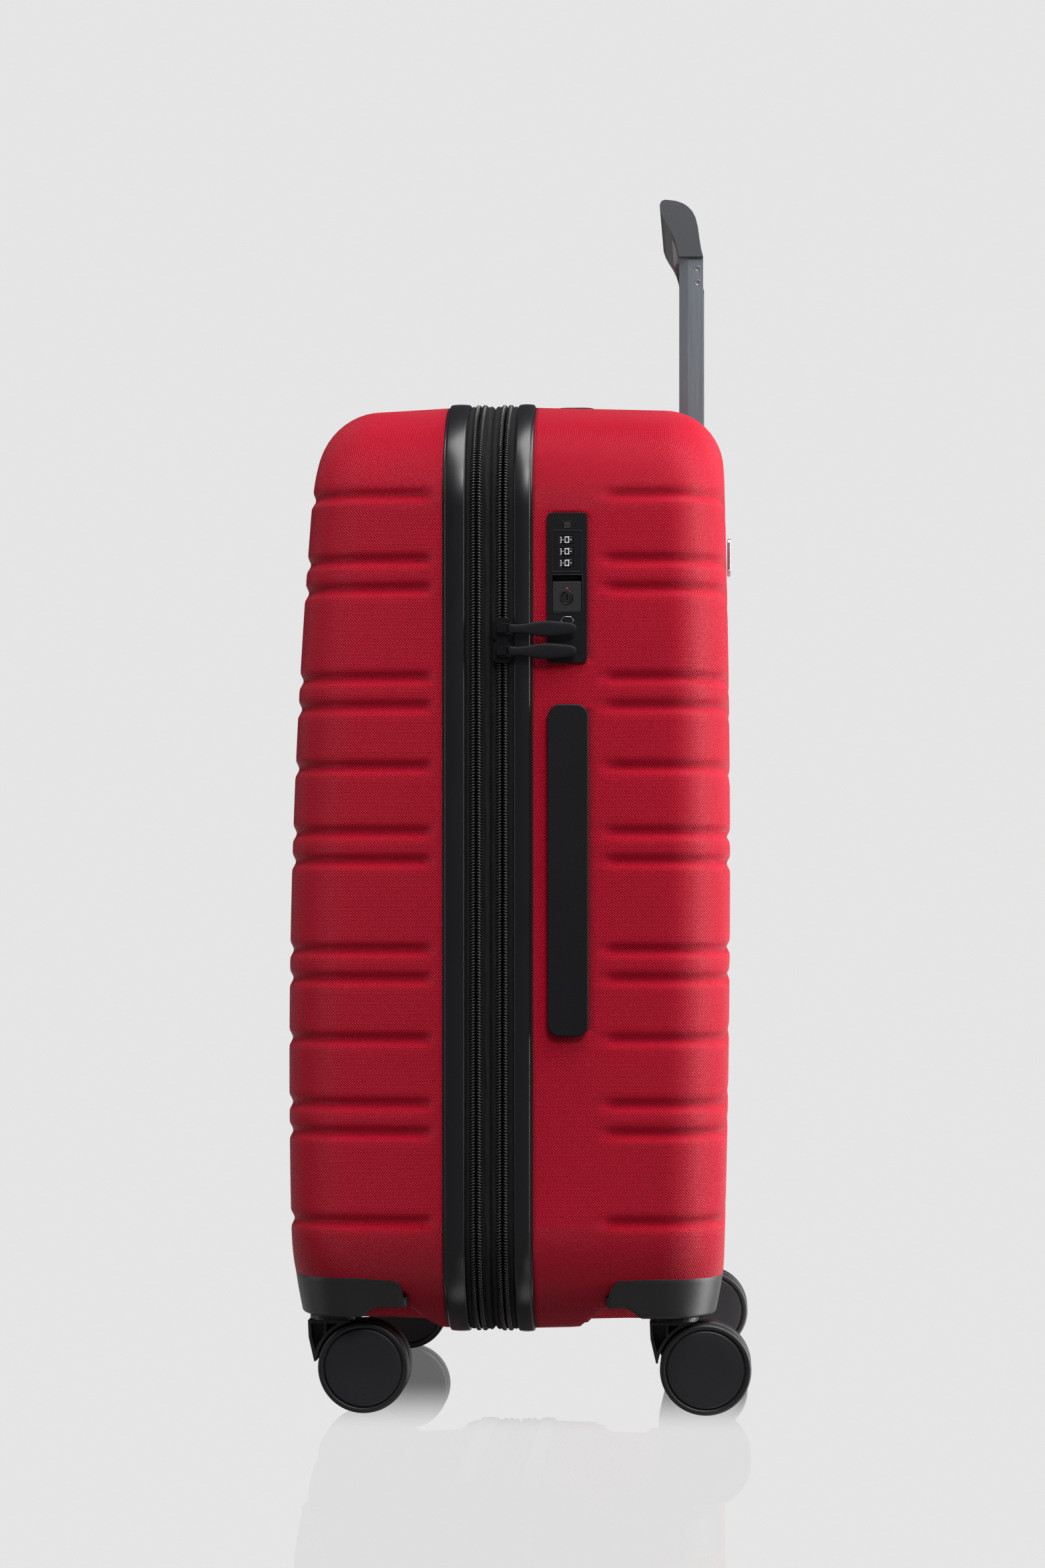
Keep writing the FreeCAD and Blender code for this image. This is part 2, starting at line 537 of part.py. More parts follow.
def caster_parts(stem_x, stem_y):
    axle_y = stem_y + TRAIL
    axle_z = WHEEL_RADIUS
    half_web = FORK_WEB / 2.0
    fork = rod(WEB_RADIUS, (stem_x - half_web, axle_y, axle_z), FORK_WEB, (1, 0, 0))
    fork = fork.cut(box(stem_x - 20.0, stem_x + 20.0, axle_y - 60.0, axle_y + 60.0, -20.0, axle_z - 6.0))
    fork = fork.cut(box(stem_x - 20.0, stem_x + 20.0, axle_y + 10.0, axle_y + 60.0, -20.0, axle_z + 8.0))
    neck = box(stem_x - half_web, stem_x + half_web, stem_y - 15.0, axle_y, axle_z - 2.0, 61.0)
    toe = box(stem_x - 20.0, stem_x + 20.0, 0.0, 60.0, -60.0, 0.0)
    toe.translate(Vector(0, -60.0, 0))
    toe.rotate(Vector(0, 0, 0), Vector(1, 0, 0), 28.0)
    toe.translate(Vector(0, stem_y - 15.0, axle_z + 20.0))
    fork = fork.fuse(neck.cut(toe))
    fork = fork.fuse(make_hood(stem_x, stem_y, axle_y, axle_z))
    fork = fork.fuse(rod(COLLAR_RADIUS, (stem_x, stem_y, 60.6), 3.8, (0, 0, 1)))
    fork = fork.fuse(rod(4.5, (stem_x, stem_y, 60.6), 23.0, (0, 0, 1)))
    fork = fork.cut(rod(3.05, (stem_x - 30.0, axle_y, axle_z), 60.0, (1, 0, 0))).removeSplitter()
    axle = rod(3.0, (stem_x - half_web - 10.0, axle_y, axle_z), FORK_WEB + 20.0, (1, 0, 0))
    cores, tyres = [], []
    for sign in (1, -1):
        inner = stem_x + sign * (half_web + 0.5)
        start = (inner, axle_y, axle_z)
        core = rod(WHEEL_RADIUS - TYRE_THICK, start, WHEEL_WIDTH, (sign, 0, 0)).cut(axle)
        recess_start = (inner + sign * (WHEEL_WIDTH - 0.8), axle_y, axle_z)
        ring = rod(WHEEL_RADIUS - TYRE_THICK + 1.0, recess_start, 2.0, (sign, 0, 0))
        ring = ring.cut(rod(WHEEL_RADIUS - TYRE_THICK - 1.4, recess_start, 2.0, (sign, 0, 0)))
        cores.append(core.cut(ring))
        tyre = rod(WHEEL_RADIUS, start, WHEEL_WIDTH, (sign, 0, 0))
        rims = [e for e in tyre.Edges if isinstance(e.Curve, Part.Circle)]
        tyre = tyre.makeFillet(1.6, rims)
        tyres.append(tyre.cut(rod(WHEEL_RADIUS - TYRE_THICK, start, WHEEL_WIDTH, (sign, 0, 0))))
    return fork, [axle] + cores, tyres


def make_housing(side, well, body, stem_y):
    """A moulded corner cup that wraps the case's bottom corner over one caster."""
    block = box(
        HOUSING_INNER_X, SHELL_HALF_WIDTH + 10.0, well[0], well[1], HOUSING_BOTTOM, HOUSING_TOP
    )
    # Below its round corner the case is squared off, so the cup reaches down to one level.
    skirt = block.common(box(0.0, SHELL_HALF_WIDTH + HOUSING_PROUD, -200.0, 200.0, 0.0, 200.0))
    lower = skirt.common(box(0.0, 400.0, stem_y - 19.0 - 6.0, stem_y + 21.0, 0.0, 84.0))
    lower = lower.common(rod(46.0, (STEM_X, stem_y, 50.0), 60.0, (0, 0, 1)))
    wrap = block.common(body)
    arm_cut = box(0.0, 400.0, -200.0, 200.0, 0.0, HOUSING_ARM_BOTTOM)
    shell_body = wrap.cut(arm_cut).fuse(lower)
    hollow = box(
        HOUSING_INNER_X + 2.4, SHELL_HALF_WIDTH - 2.2, well[0], well[1] - 2.4,
        HOUSING_ARM_BOTTOM + 2.4, HOUSING_TOP + 1.0,
    )
    return shell_body, hollow


def make_casters():
    housings = {"front": [], "rear": []}
    screws = {"front": [], "rear": []}
    for end, well, stem_y, grown, inner in (
        ("front", FRONT_WELL, FRONT_STEM_Y, front_body(HOUSING_PROUD), front_body(-3.0)),
        ("rear", REAR_WELL, REAR_STEM_Y, rear_body(HOUSING_PROUD), rear_body(-3.0)),
    ):
        cup, hollow = make_housing(1, well, grown, stem_y)
        cavity = hollow.common(inner)
        boss = rod(9.0, (STEM_X, stem_y, HOUSING_BOTTOM), 20.0, (0, 0, 1))
        # The case's wall above the well stays clear of the cup.
        case_wall = (front_body(0.0) if end == "front" else rear_body(0.0))
        case_wall = case_wall.common(box(0.0, 400.0, -400.0, 400.0, WELL_TOP_IN_SHELL, 200.0))
        cup = cup.cut(cavity).cut(case_wall).fuse(boss)
        cup = cup.cut(rod(4.56, (STEM_X, stem_y, 0.0), 84.2, (0, 0, 1)))
        for dx, dy in ((-30.0, 0.0), (17.0, 26.0), (20.0, -17.0)):
            screw = rod(2.6, (STEM_X + dx, stem_y + dy, HOUSING_ARM_BOTTOM - 6.0), 9.5, (0, 0, 1))
            if cup.common(screw).Volume > 0.7 * 3.14 * 2.6 ** 2 * 2.4:
                cup = cup.cut(screw)
                screws[end].append(screw)
        cup = cup.removeSplitter()
        housings[end] = [cup, mirror_x(cup)]
        screws[end] = screws[end] + [mirror_x(s) for s in screws[end]]
        for side, label in ((1, "right"), (-1, "left")):
            fork, cores, tyres = caster_parts(side * STEM_X, stem_y)
            save("%s_%s_fork" % (end, label), fork)
            save("%s_%s_wheel_cores" % (end, label), *cores)
            save("%s_%s_tyres" % (end, label), *tyres)
        save(end + "_wheel_housings", *housings[end])
        save(end + "_housing_screws", *screws[end])


# ---- small fittings -----------------------------------------------------------------
def make_fittings():
    def feet(y):
        x = -SHELL_HALF_WIDTH - FOOT_HEIGHT
        return [rod(FOOT_RADIUS, (x, y, z), FOOT_HEIGHT, (1, 0, 0)) for z in FOOT_LEVELS]

    save("front_side_feet", *feet(-92.0))
    save("rear_side_feet", *feet(62.0))
    plate = rounded_bar(-22.0, 22.0, REAR_FACE - 0.4, REAR_FACE + 1.8, 567.0, 590.0, 3.0, (0, 1, 0))
    save("rear_name_plate", plate.cut(rear_body(0.0)))
    wall = LINING_REAR_WALL - LINING_THICK
    straps = [
        box(-STRAP_HALF_LENGTH, -BUCKLE_HALF_LENGTH, wall - 1.4, wall - 0.1, STRAP_LOW, STRAP_HIGH),
        box(BUCKLE_HALF_LENGTH, STRAP_HALF_LENGTH, wall - 1.4, wall - 0.1, STRAP_LOW, STRAP_HIGH),
    ]
    save("packing_straps", *straps)
    buckle = rounded_bar(
        -BUCKLE_HALF_LENGTH, BUCKLE_HALF_LENGTH, wall - 9.0, wall - 0.1,
        STRAP_LOW - 4.0, STRAP_HIGH + 4.0, 3.0, (0, 1, 0),
    )
    save("packing_buckle", buckle)
    inside = -LINING_GAP - LINING_THICK - 0.2
    room = half_body(
        inside, LINING_FRONT_START, FRONT_FACE, FRONT_CROWN_RADIUS, FRONT_CROWN_HEIGHT
    )
    pocket = room.common(box(-150.0, 150.0, FRONT_FACE, FRONT_FACE - inside + 1.8, 120.0, 340.0))
    save("front_pocket", pocket)


def main():
    os.makedirs("parts", exist_ok=True)
    make_shells()
    make_linings()
    make_zips()
    make_carry_handles()
    make_lock()
    make_trolley()
    make_casters()
    make_fittings()


main()
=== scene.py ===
import json
import math

import bmesh
import bpy
import numpy as np
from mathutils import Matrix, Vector


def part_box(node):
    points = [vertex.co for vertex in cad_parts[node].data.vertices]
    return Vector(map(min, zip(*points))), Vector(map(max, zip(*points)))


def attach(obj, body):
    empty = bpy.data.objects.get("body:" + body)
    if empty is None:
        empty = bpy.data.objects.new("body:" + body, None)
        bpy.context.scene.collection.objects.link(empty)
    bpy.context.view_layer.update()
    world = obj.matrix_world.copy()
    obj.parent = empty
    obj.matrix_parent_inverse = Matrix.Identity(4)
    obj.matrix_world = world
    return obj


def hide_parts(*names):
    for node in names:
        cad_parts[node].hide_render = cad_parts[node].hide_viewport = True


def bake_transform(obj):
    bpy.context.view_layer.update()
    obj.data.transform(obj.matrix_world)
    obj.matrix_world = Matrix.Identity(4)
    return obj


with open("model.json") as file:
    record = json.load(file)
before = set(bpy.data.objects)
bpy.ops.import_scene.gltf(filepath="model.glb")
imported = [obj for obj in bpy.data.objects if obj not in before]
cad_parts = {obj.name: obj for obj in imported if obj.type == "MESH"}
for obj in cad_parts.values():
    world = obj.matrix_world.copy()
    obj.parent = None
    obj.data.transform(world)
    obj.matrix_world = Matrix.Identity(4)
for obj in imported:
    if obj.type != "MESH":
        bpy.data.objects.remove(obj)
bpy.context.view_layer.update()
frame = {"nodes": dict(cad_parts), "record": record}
scene = bpy.context.scene

MM = 0.001

# ---- sizes read from the frame, in metres -------------------------------------------
front_low, front_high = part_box("front_shell")
rear_low, rear_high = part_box("rear_shell")
HALF_WIDTH = rear_high.x
BOTTOM, TOP = rear_low.z, rear_high.z
FRONT_FACE, FRONT_RIM = front_low.y, front_high.y
REAR_RIM, REAR_FACE = rear_low.y, rear_high.y
MID_Z = (BOTTOM + TOP) / 2

BODY_OF = {node: body for body, nodes in frame["record"]["behaviour"]["bodies"].items() for node in nodes}
SLOT_OF = {row["node"]: row["material_slot"] for row in frame["record"]["subparts"]}

# ---- sizes of the finish ------------------------------------------------------------
CORNER = 72 * MM
EDGE = 37 * MM
SIDE_DRAFT = 2.4 * MM
SHELL_WALL = 1.5 * MM
GROOVE_WIDTH = 12.5 * MM
GROOVE_DEPTH = 2.3 * MM
GROOVE_PERIOD = 176.7 * MM
GROOVE_OFFSETS = (0.0, 42.4 * MM, 61.0 * MM, 118.9 * MM, 137.5 * MM)
GROOVE_TOP = 600.5 * MM
GRAIN_PITCH = 1.85 * MM
FRONT_BOW = (4.5, 0.230)
REAR_BOW = (9.0, 0.360)
X_BOW = 14.0

HOUSING_INNER = 128 * MM
WELL_EDGE = {"front": -72.3 * MM, "rear": 57.0 * MM}
WELL_SHELL_TOP = 80 * MM
WELL_RISE = 18.5 * MM
WELL_RAMP = 24 * MM
FLANGE = 2 * MM

straight_w = 2 * (HALF_WIDTH - CORNER)
straight_h = TOP - BOTTOM - 2 * CORNER
SIDE_RUN = straight_h + CORNER * math.pi / 2
END_RUN = straight_w + CORNER * math.pi / 2
PERIMETER = 2 * (SIDE_RUN + END_RUN)


# ---- mesh helpers -------------------------------------------------------------------
def make_object(name, points, quads, body, material, uv=None, smooth=True, sharp=None):
    """A mesh from point and quad arrays, riding on one body with one material."""
    mesh = bpy.data.meshes.new(name)
    points = np.asarray(points, float).reshape(-1, 3)
    quads = np.asarray(quads, int)
    sides = quads.shape[1]
    mesh.vertices.add(len(points))
    mesh.vertices.foreach_set("co", points.ravel())
    mesh.loops.add(quads.size)
    mesh.loops.foreach_set("vertex_index", quads.ravel())
    mesh.polygons.add(len(quads))
    mesh.polygons.foreach_set("loop_start", np.arange(0, quads.size, sides))
    mesh.polygons.foreach_set("loop_total", np.full(len(quads), sides))
    mesh.polygons.foreach_set("use_smooth", np.full(len(quads), smooth))
    mesh.update(calc_edges=True)
    mesh.validate()
    if uv is not None:
        layer = mesh.uv_layers.new(name="sheet")
        layer.data.foreach_set("uv", np.asarray(uv, float)[quads.ravel()].ravel())
    if sharp is not None:
        mesh.set_sharp_from_angle(angle=math.radians(sharp))
    piece = bpy.data.objects.new(name, mesh)
    scene.collection.objects.link(piece)
    mesh.materials.append(material)
    if body:
        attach(piece, body)
    return piece


def grid_quads(rows, cols, wrap_rows=False, wrap_cols=False, flip=False):
    """Quads of a rows by cols grid of points; a wrapped side joins its last line to its first."""
    r = np.arange(rows if wrap_rows else rows - 1)
    c = np.arange(cols if wrap_cols else cols - 1)
    r, c = np.meshgrid(r, c, indexing="ij")
    a = r * cols + c
    b = r * cols + (c + 1) % cols
    d = ((r + 1) % rows) * cols + c
    e = ((r + 1) % rows) * cols + (c + 1) % cols
    quads = np.stack([a, b, e, d], axis=-1).reshape(-1, 4)
    return quads[:, ::-1] if flip else quads


def finish(node, replace=True):
    """Hide the node so the new piece stands in for it, unless the piece only adds to the node."""
    if replace:
        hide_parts(node)


def close_poles(piece, turn_faces=False):
    """Merge the coinciding points at a turned piece's ends; turn its faces outward if asked."""
    work = bmesh.new()
    work.from_mesh(piece.data)
    bmesh.ops.remove_doubles(work, verts=work.verts, dist=0.004 * MM)
    if turn_faces:
        bmesh.ops.recalc_face_normals(work, faces=work.faces)
    work.to_mesh(piece.data)
    work.free()


def joined(parts):
    """Several (points, quads) as one."""
    count = np.cumsum([0] + [len(points) for points, _ in parts])
    return (np.concatenate([points for points, _ in parts]),
            np.concatenate([quads + start for (_, quads), start in zip(parts, count)]))


def face_lean(x, z, bow):
    """How far a bowed face has fallen back from its furthest point: two parabolas."""
    radius, middle = bow
    return (z - middle) ** 2 / (2 * radius) + x ** 2 / (2 * X_BOW)


def smooth_step(low, high, value):
    """0 below low, 1 above high, a cubic ease between."""
    t = np.clip((value - low) / (high - low), 0, 1)
    return t * t * (3 - 2 * t)


def outline_at(run):
    """Point (x, z) and outward normal of the case's rounded rectangle at a run along it.

    The run starts at the middle of the bottom corner on +X and goes up that side first.
    """
    run = np.mod(np.asarray(run, float), PERIMETER)
    quarter = CORNER * math.pi / 2
    lengths = np.array([quarter / 2, straight_h, quarter, straight_w, quarter, straight_h, quarter,
                        straight_w, quarter / 2])
    starts = np.concatenate([[0], np.cumsum(lengths)])
    index = np.clip(np.searchsorted(starts, run, side="right") - 1, 0, 8)
    along = run - starts[index]
    cx, cz_low, cz_high = HALF_WIDTH - CORNER, BOTTOM + CORNER, TOP - CORNER
    centre_x = np.array([cx, 0, cx, 0, -cx, 0, -cx, 0, cx])[index]
    centre_z = np.array([cz_low, 0, cz_high, 0, cz_high, 0, cz_low, 0, cz_low])[index]
    first = np.array([-math.pi / 4, 0, 0, math.pi / 2, math.pi / 2, math.pi, math.pi,
                      1.5 * math.pi, 1.5 * math.pi])[index]
    curved = np.array([1, 0, 1, 0, 1, 0, 1, 0, 1])[index]
    angle = first + curved * along / CORNER
    nx, nz = np.cos(angle), np.sin(angle)
    line_x = np.select([index == 1, index == 3, index == 5, index == 7],
                       [HALF_WIDTH + 0 * along, cx - along, -HALF_WIDTH + 0 * along, -cx + along])
    line_z = np.select([index == 1, index == 3, index == 5, index == 7],
                       [cz_low + along, TOP + 0 * along, cz_high - along, BOTTOM + 0 * along])
    x = np.where(curved == 1, centre_x + CORNER * nx, line_x)
    z = np.where(curved == 1, centre_z + CORNER * nz, line_z)
    return x, z, nx, nz


# ---- shader recipes -----------------------------------------------------------------
class Socket:
    """A shader value: arithmetic on it adds Math nodes."""

    def __init__(self, recipe, link):
        self.recipe, self.link = recipe, link

    def math(self, operation, *values):
        inputs = dict(enumerate(values))
        return self.recipe.node("ShaderNodeMath", {"operation": operation}, inputs)

    def __add__(self, other):
        return self.math("ADD", self, other)

    def __sub__(self, other):
        return self.math("SUBTRACT", self, other)

    def __mul__(self, other):
        return self.math("MULTIPLY", self, other)

    def __rsub__(self, other):
        return self.math("SUBTRACT", other, self)

    __radd__ = __add__
    __rmul__ = __mul__

    def sine(self):
        return self.math("SINE", self)

    def absolute(self):
        return self.math("ABSOLUTE", self)

    def least(self, other):
        return self.math("MINIMUM", self, other)


class Recipe:
    """One material: a Principled shader and the nodes that feed it."""

    def __init__(self, name, color, roughness, **constant):
        self.material = bpy.data.materials.new(name)
        self.material.use_nodes = True
        self.tree = self.material.node_tree
        self.shader = self.tree.nodes["Principled BSDF"]
        self.color, self.roughness = color, roughness
        self.shader.inputs["Base Color"].default_value = (*color, 1)
        self.shader.inputs["Roughness"].default_value = roughness
        for key, value in constant.items():
            self.shader.inputs[key.replace("_", " ").title().replace("Ior", "IOR")].default_value = value

    def node(self, kind, settings=None, inputs=None, output=0):
        made = self.tree.nodes.new(kind)
        for key, value in (settings or {}).items():
            setattr(made, key, value)
        for key, value in (inputs or {}).items():
            self.feed(made.inputs[key], value)
        return Socket(self, made.outputs[output])

    def feed(self, target, value):
        if isinstance(value, Socket):
            self.tree.links.new(value.link, target)
        else:
            target.default_value = value

    def place(self, uv=None):
        if uv:
            return self.node("ShaderNodeUVMap", {"uv_map": uv})
        return self.node("ShaderNodeTexCoord", output="Object")

    def split(self, vector):
        made = self.node("ShaderNodeSeparateXYZ", {}, {0: vector})
        outputs = made.link.node.outputs
        return tuple(Socket(self, outputs[i]) for i in range(3))

    def noise(self, vector, scale, detail=3.0, roughness=0.5):
        return self.node("ShaderNodeTexNoise", {}, {"Vector": vector, "Scale": scale, "Detail": detail,
                                                    "Roughness": roughness})

    def blend_colors(self, factor, first, second):
        return self.node("ShaderNodeMix", {"data_type": "RGBA"}, {0: factor, 6: (*first, 1), 7: (*second, 1)},
                         output=2)

    def bump(self, height, depth, strength=1.0):
        normal = self.node("ShaderNodeBump", {}, {"Strength": strength, "Distance": depth, "Height": height})
        self.feed(self.shader.inputs["Normal"], normal)

    def mottle(self, place, scale, amount, roughness_amount=0.06):
        """Slow colour and gloss variation, as handled mouldings have."""
        cloud = self.noise(place, scale, 4.0)
        darker = tuple(c * (1 - amount) for c in self.color)
        lighter = tuple(min(1.0, c * (1 + amount)) for c in self.color)
        self.feed(self.shader.inputs["Base Color"], self.blend_colors(cloud, darker, lighter))
        least = self.roughness - roughness_amount
        self.feed(self.shader.inputs["Roughness"], cloud * roughness_amount * 2 + least)
        return cloud


def crossed_lines(x, y, pitch):
    """1 on two crossing sets of diagonal lines, 0 in the diamonds between them."""
    wave = math.pi / pitch
    one = ((x + y) * wave).sine().absolute()
    two = ((x - y) * wave).sine().absolute()
    return one.least(two)


def make_red_shell():
    r = Recipe("red_polycarbonate", (0.45, 0.004, 0.020), 0.40, specular_ior_level=0.14, sheen_weight=0.05,
               sheen_roughness=0.30)
    sheet = r.place("sheet")
    x, y, _ = r.split(sheet)
    grain = crossed_lines(x, y, GRAIN_PITCH)
    cloud = r.noise(r.place(), 9.0, 3.0)
    speck = r.noise(r.place(), 900.0, 2.0)
    # Base colour: the lighter red on the grain's raised lines is painted highlight and the darker red in the
    # diamonds between them is painted shade of the grain's relief; the slow cloud adds the shell's own random
    # tone
    tone = grain * 0.9 + cloud * 0.25 - 0.1
    color = r.blend_colors(tone, (0.26, 0.0008, 0.010), (0.64, 0.004, 0.032))
    r.feed(r.shader.inputs["Base Color"], color)
    r.feed(r.shader.inputs["Roughness"], cloud * 0.08 + (0.46 - 0.10 * grain))
    r.bump(grain + speck * 0.15, 0.0004, 1.0)
    return r.material


def make_plastic(name, color, roughness, grain=900.0, depth=0.00006, mottle=0.12, **constant):
    """Moulded plastic: a fine spark-eroded grain and slow tone changes."""
    r = Recipe(name, color, roughness, **constant)
    place = r.place()
    r.mottle(place, 14.0, mottle)
    fine = r.noise(place, grain, 2.0, 0.6)
    r.bump(fine, depth, 0.7)
    return r.material


def make_brushed(name, color, roughness, stretch, **constant):
    """Metal with fine lines drawn along one direction (where the stretch is small)."""
    r = Recipe(name, color, roughness, metallic=constant.pop("metallic", 1.0), **constant)
    place = r.place()
    drawn = r.node("ShaderNodeMapping", {}, {"Vector": place, "Scale": stretch})
    lines = r.noise(drawn, 1.0, 3.0, 0.65)
    r.feed(r.shader.inputs["Roughness"], lines * 0.16 + (roughness - 0.08))
    darker = tuple(c * 0.82 for c in color)
    r.feed(r.shader.inputs["Base Color"], r.blend_colors(lines, darker, color))
    r.bump(lines, 0.00004, 0.5)
    return r.material


def make_cloth(name, color, pitch, uv=None, depth=0.00025, roughness=0.85, sheen=0.04):
    """Plain weave: warp and weft as two crossing waves, with slub noise."""
    r = Recipe(name, color, roughness, sheen_weight=sheen, sheen_roughness=0.5, specular_ior_level=0.2)
    place = r.place(uv)
    x, y, z = r.split(place)
    across = x if uv else x + y
    along = y if uv else z
    warp = (across * (math.pi / pitch)).sine().absolute()
    weft = (along * (math.pi / pitch)).sine().absolute()
    checker = ((across * (math.pi / pitch / 2)).sine() * (along * (math.pi / pitch / 2)).sine()) * 0.5 + 0.5
    weave = warp * checker + weft * (1 - checker)
    slub = r.noise(r.place(), 260.0, 3.0)
    darker = tuple(c * 0.45 for c in color)
    lighter = tuple(c * 1.35 for c in color)
    r.feed(r.shader.inputs["Base Color"], r.blend_colors(weave * 0.7 + slub * 0.3, darker, lighter))
    r.feed(r.shader.inputs["Roughness"], (roughness + 0.05) - weave * 0.15)
    r.bump(weave + slub * 0.4, depth, 0.8)
    return r.material


def make_mesh_cloth(name, color, pitch):
    """Knitted mesh: open holes between thick threads."""
    r = Recipe(name, color, 0.8)
    x, _, z = r.split(r.place())
    hole = (x * (math.pi / pitch)).sine().absolute().least((z * (math.pi / pitch)).sine().absolute())
    r.feed(r.shader.inputs["Alpha"], hole.math("LESS_THAN", hole, 0.62) * 1.0)
    r.feed(r.shader.inputs["Roughness"], hole * 0.2 + 0.7)
    r.bump(1 - hole, 0.0004, 0.8)
    return r.material


def make_paint(name, color):
    r = Recipe(name, color, 0.45)
    r.mottle(r.place(), 300.0, 0.08)
    return r.material


red = make_red_shell()
trim_black = make_plastic("trim_black", (0.006, 0.006, 0.0075), 0.30, 700.0, 0.00002, specular_ior_level=0.5)
moulded_black = make_plastic("moulded_black", (0.009, 0.009, 0.0095), 0.50, 1100.0, 0.00008)
fork_black = make_plastic("fork_black", (0.006, 0.006, 0.0065), 0.46, 1000.0, 0.00006)
wheel_black = make_plastic("wheel_black", (0.008, 0.0083, 0.0105), 0.50, 1300.0, 0.00005)
tyre_black = make_plastic("tyre_black", (0.0055, 0.0055, 0.0062), 0.50, 800.0, 0.00008)
lock_black = make_plastic("lock_black", (0.0055, 0.0057, 0.0070), 0.40, 1200.0, 0.00005,
                          specular_ior_level=0.25)
rubber_black = make_plastic("rubber_black", (0.0055, 0.0056, 0.0070), 0.55, 1000.0, 0.00008,
                            specular_ior_level=0.2)
grip_grey = make_plastic("grip_grey", (0.060, 0.064, 0.070), 0.38, 1000.0, 0.00005)
dial_black = make_plastic("dial_black", (0.006, 0.006, 0.006), 0.30, 900.0, 0.00003)
coil_black = make_plastic("coil_black", (0.012, 0.012, 0.013), 0.26, 1500.0, 0.00002, specular_ior_level=0.7)
slider_black = make_plastic("slider_black", (0.012, 0.012, 0.014), 0.30, 900.0, 0.00003, metallic=0.6)
pole_metal = make_brushed("pole_metal", (0.24, 0.27, 0.30), 0.36, (900.0, 900.0, 18.0), metallic=0.65)
steel = make_brushed("drawn_steel", (0.42, 0.43, 0.45), 0.32, (500.0, 500.0, 20.0))
key_steel = make_brushed("key_steel", (0.07, 0.07, 0.075), 0.35, (60.0, 900.0, 900.0))
plate_alloy = make_brushed("plate_alloy", (0.42, 0.42, 0.44), 0.34, (30.0, 900.0, 900.0))
tape_cloth = make_cloth("tape_cloth", (0.0045, 0.0045, 0.005), 0.45 * MM, "sheet")
band_cloth = make_cloth("band_cloth", (0.0045, 0.0045, 0.005), 0.55 * MM, "sheet")
lining_cloth = make_cloth("lining_cloth", (0.045, 0.045, 0.050), 0.8 * MM, "sheet", depth=0.0003)
strap_cloth = make_cloth("strap_cloth", (0.025, 0.025, 0.028), 1.1 * MM, depth=0.0004)
pocket_cloth = make_mesh_cloth("pocket_mesh", (0.035, 0.035, 0.038), 1.6 * MM)
white_paint = make_paint("white_paint", (0.72, 0.74, 0.76))
red_paint = make_paint("red_paint", (0.35, 0.01, 0.02))


# ---- shells -------------------------------------------------------------------------
def groove_lines():
    """Heights of the soft grooves: one pattern of five, repeated downwards to fourteen."""
    heights = []
    for repeat in range(3):
        heights += [GROOVE_TOP - repeat * GROOVE_PERIOD - offset for offset in GROOVE_OFFSETS]
    return np.array(heights[:14])


def groove_depth(z):
    """A soft V with round shoulders: a raised cosine of the distance to the nearest line."""
    gap = np.abs(np.asarray(z)[..., None] - groove_lines()).min(axis=-1)
    t = np.clip(gap / (GROOVE_WIDTH / 2), 0, 1)
    return GROOVE_DEPTH * (0.5 + 0.5 * np.cos(math.pi * t)) ** 0.8


def dense_runs(length, count, start):
    """Runs along one tall side, closer together where the grooves are."""
    fine = np.linspace(0, length, 4000)
    z = outline_at(start + fine)[1]
    density = 1 + 3.0 * (groove_depth(z) > 0.02 * MM)
    total = np.concatenate([[0], np.cumsum((density[1:] + density[:-1]) / 2)])
    return np.interp(np.linspace(0, total[-1], count + 1), total, fine)


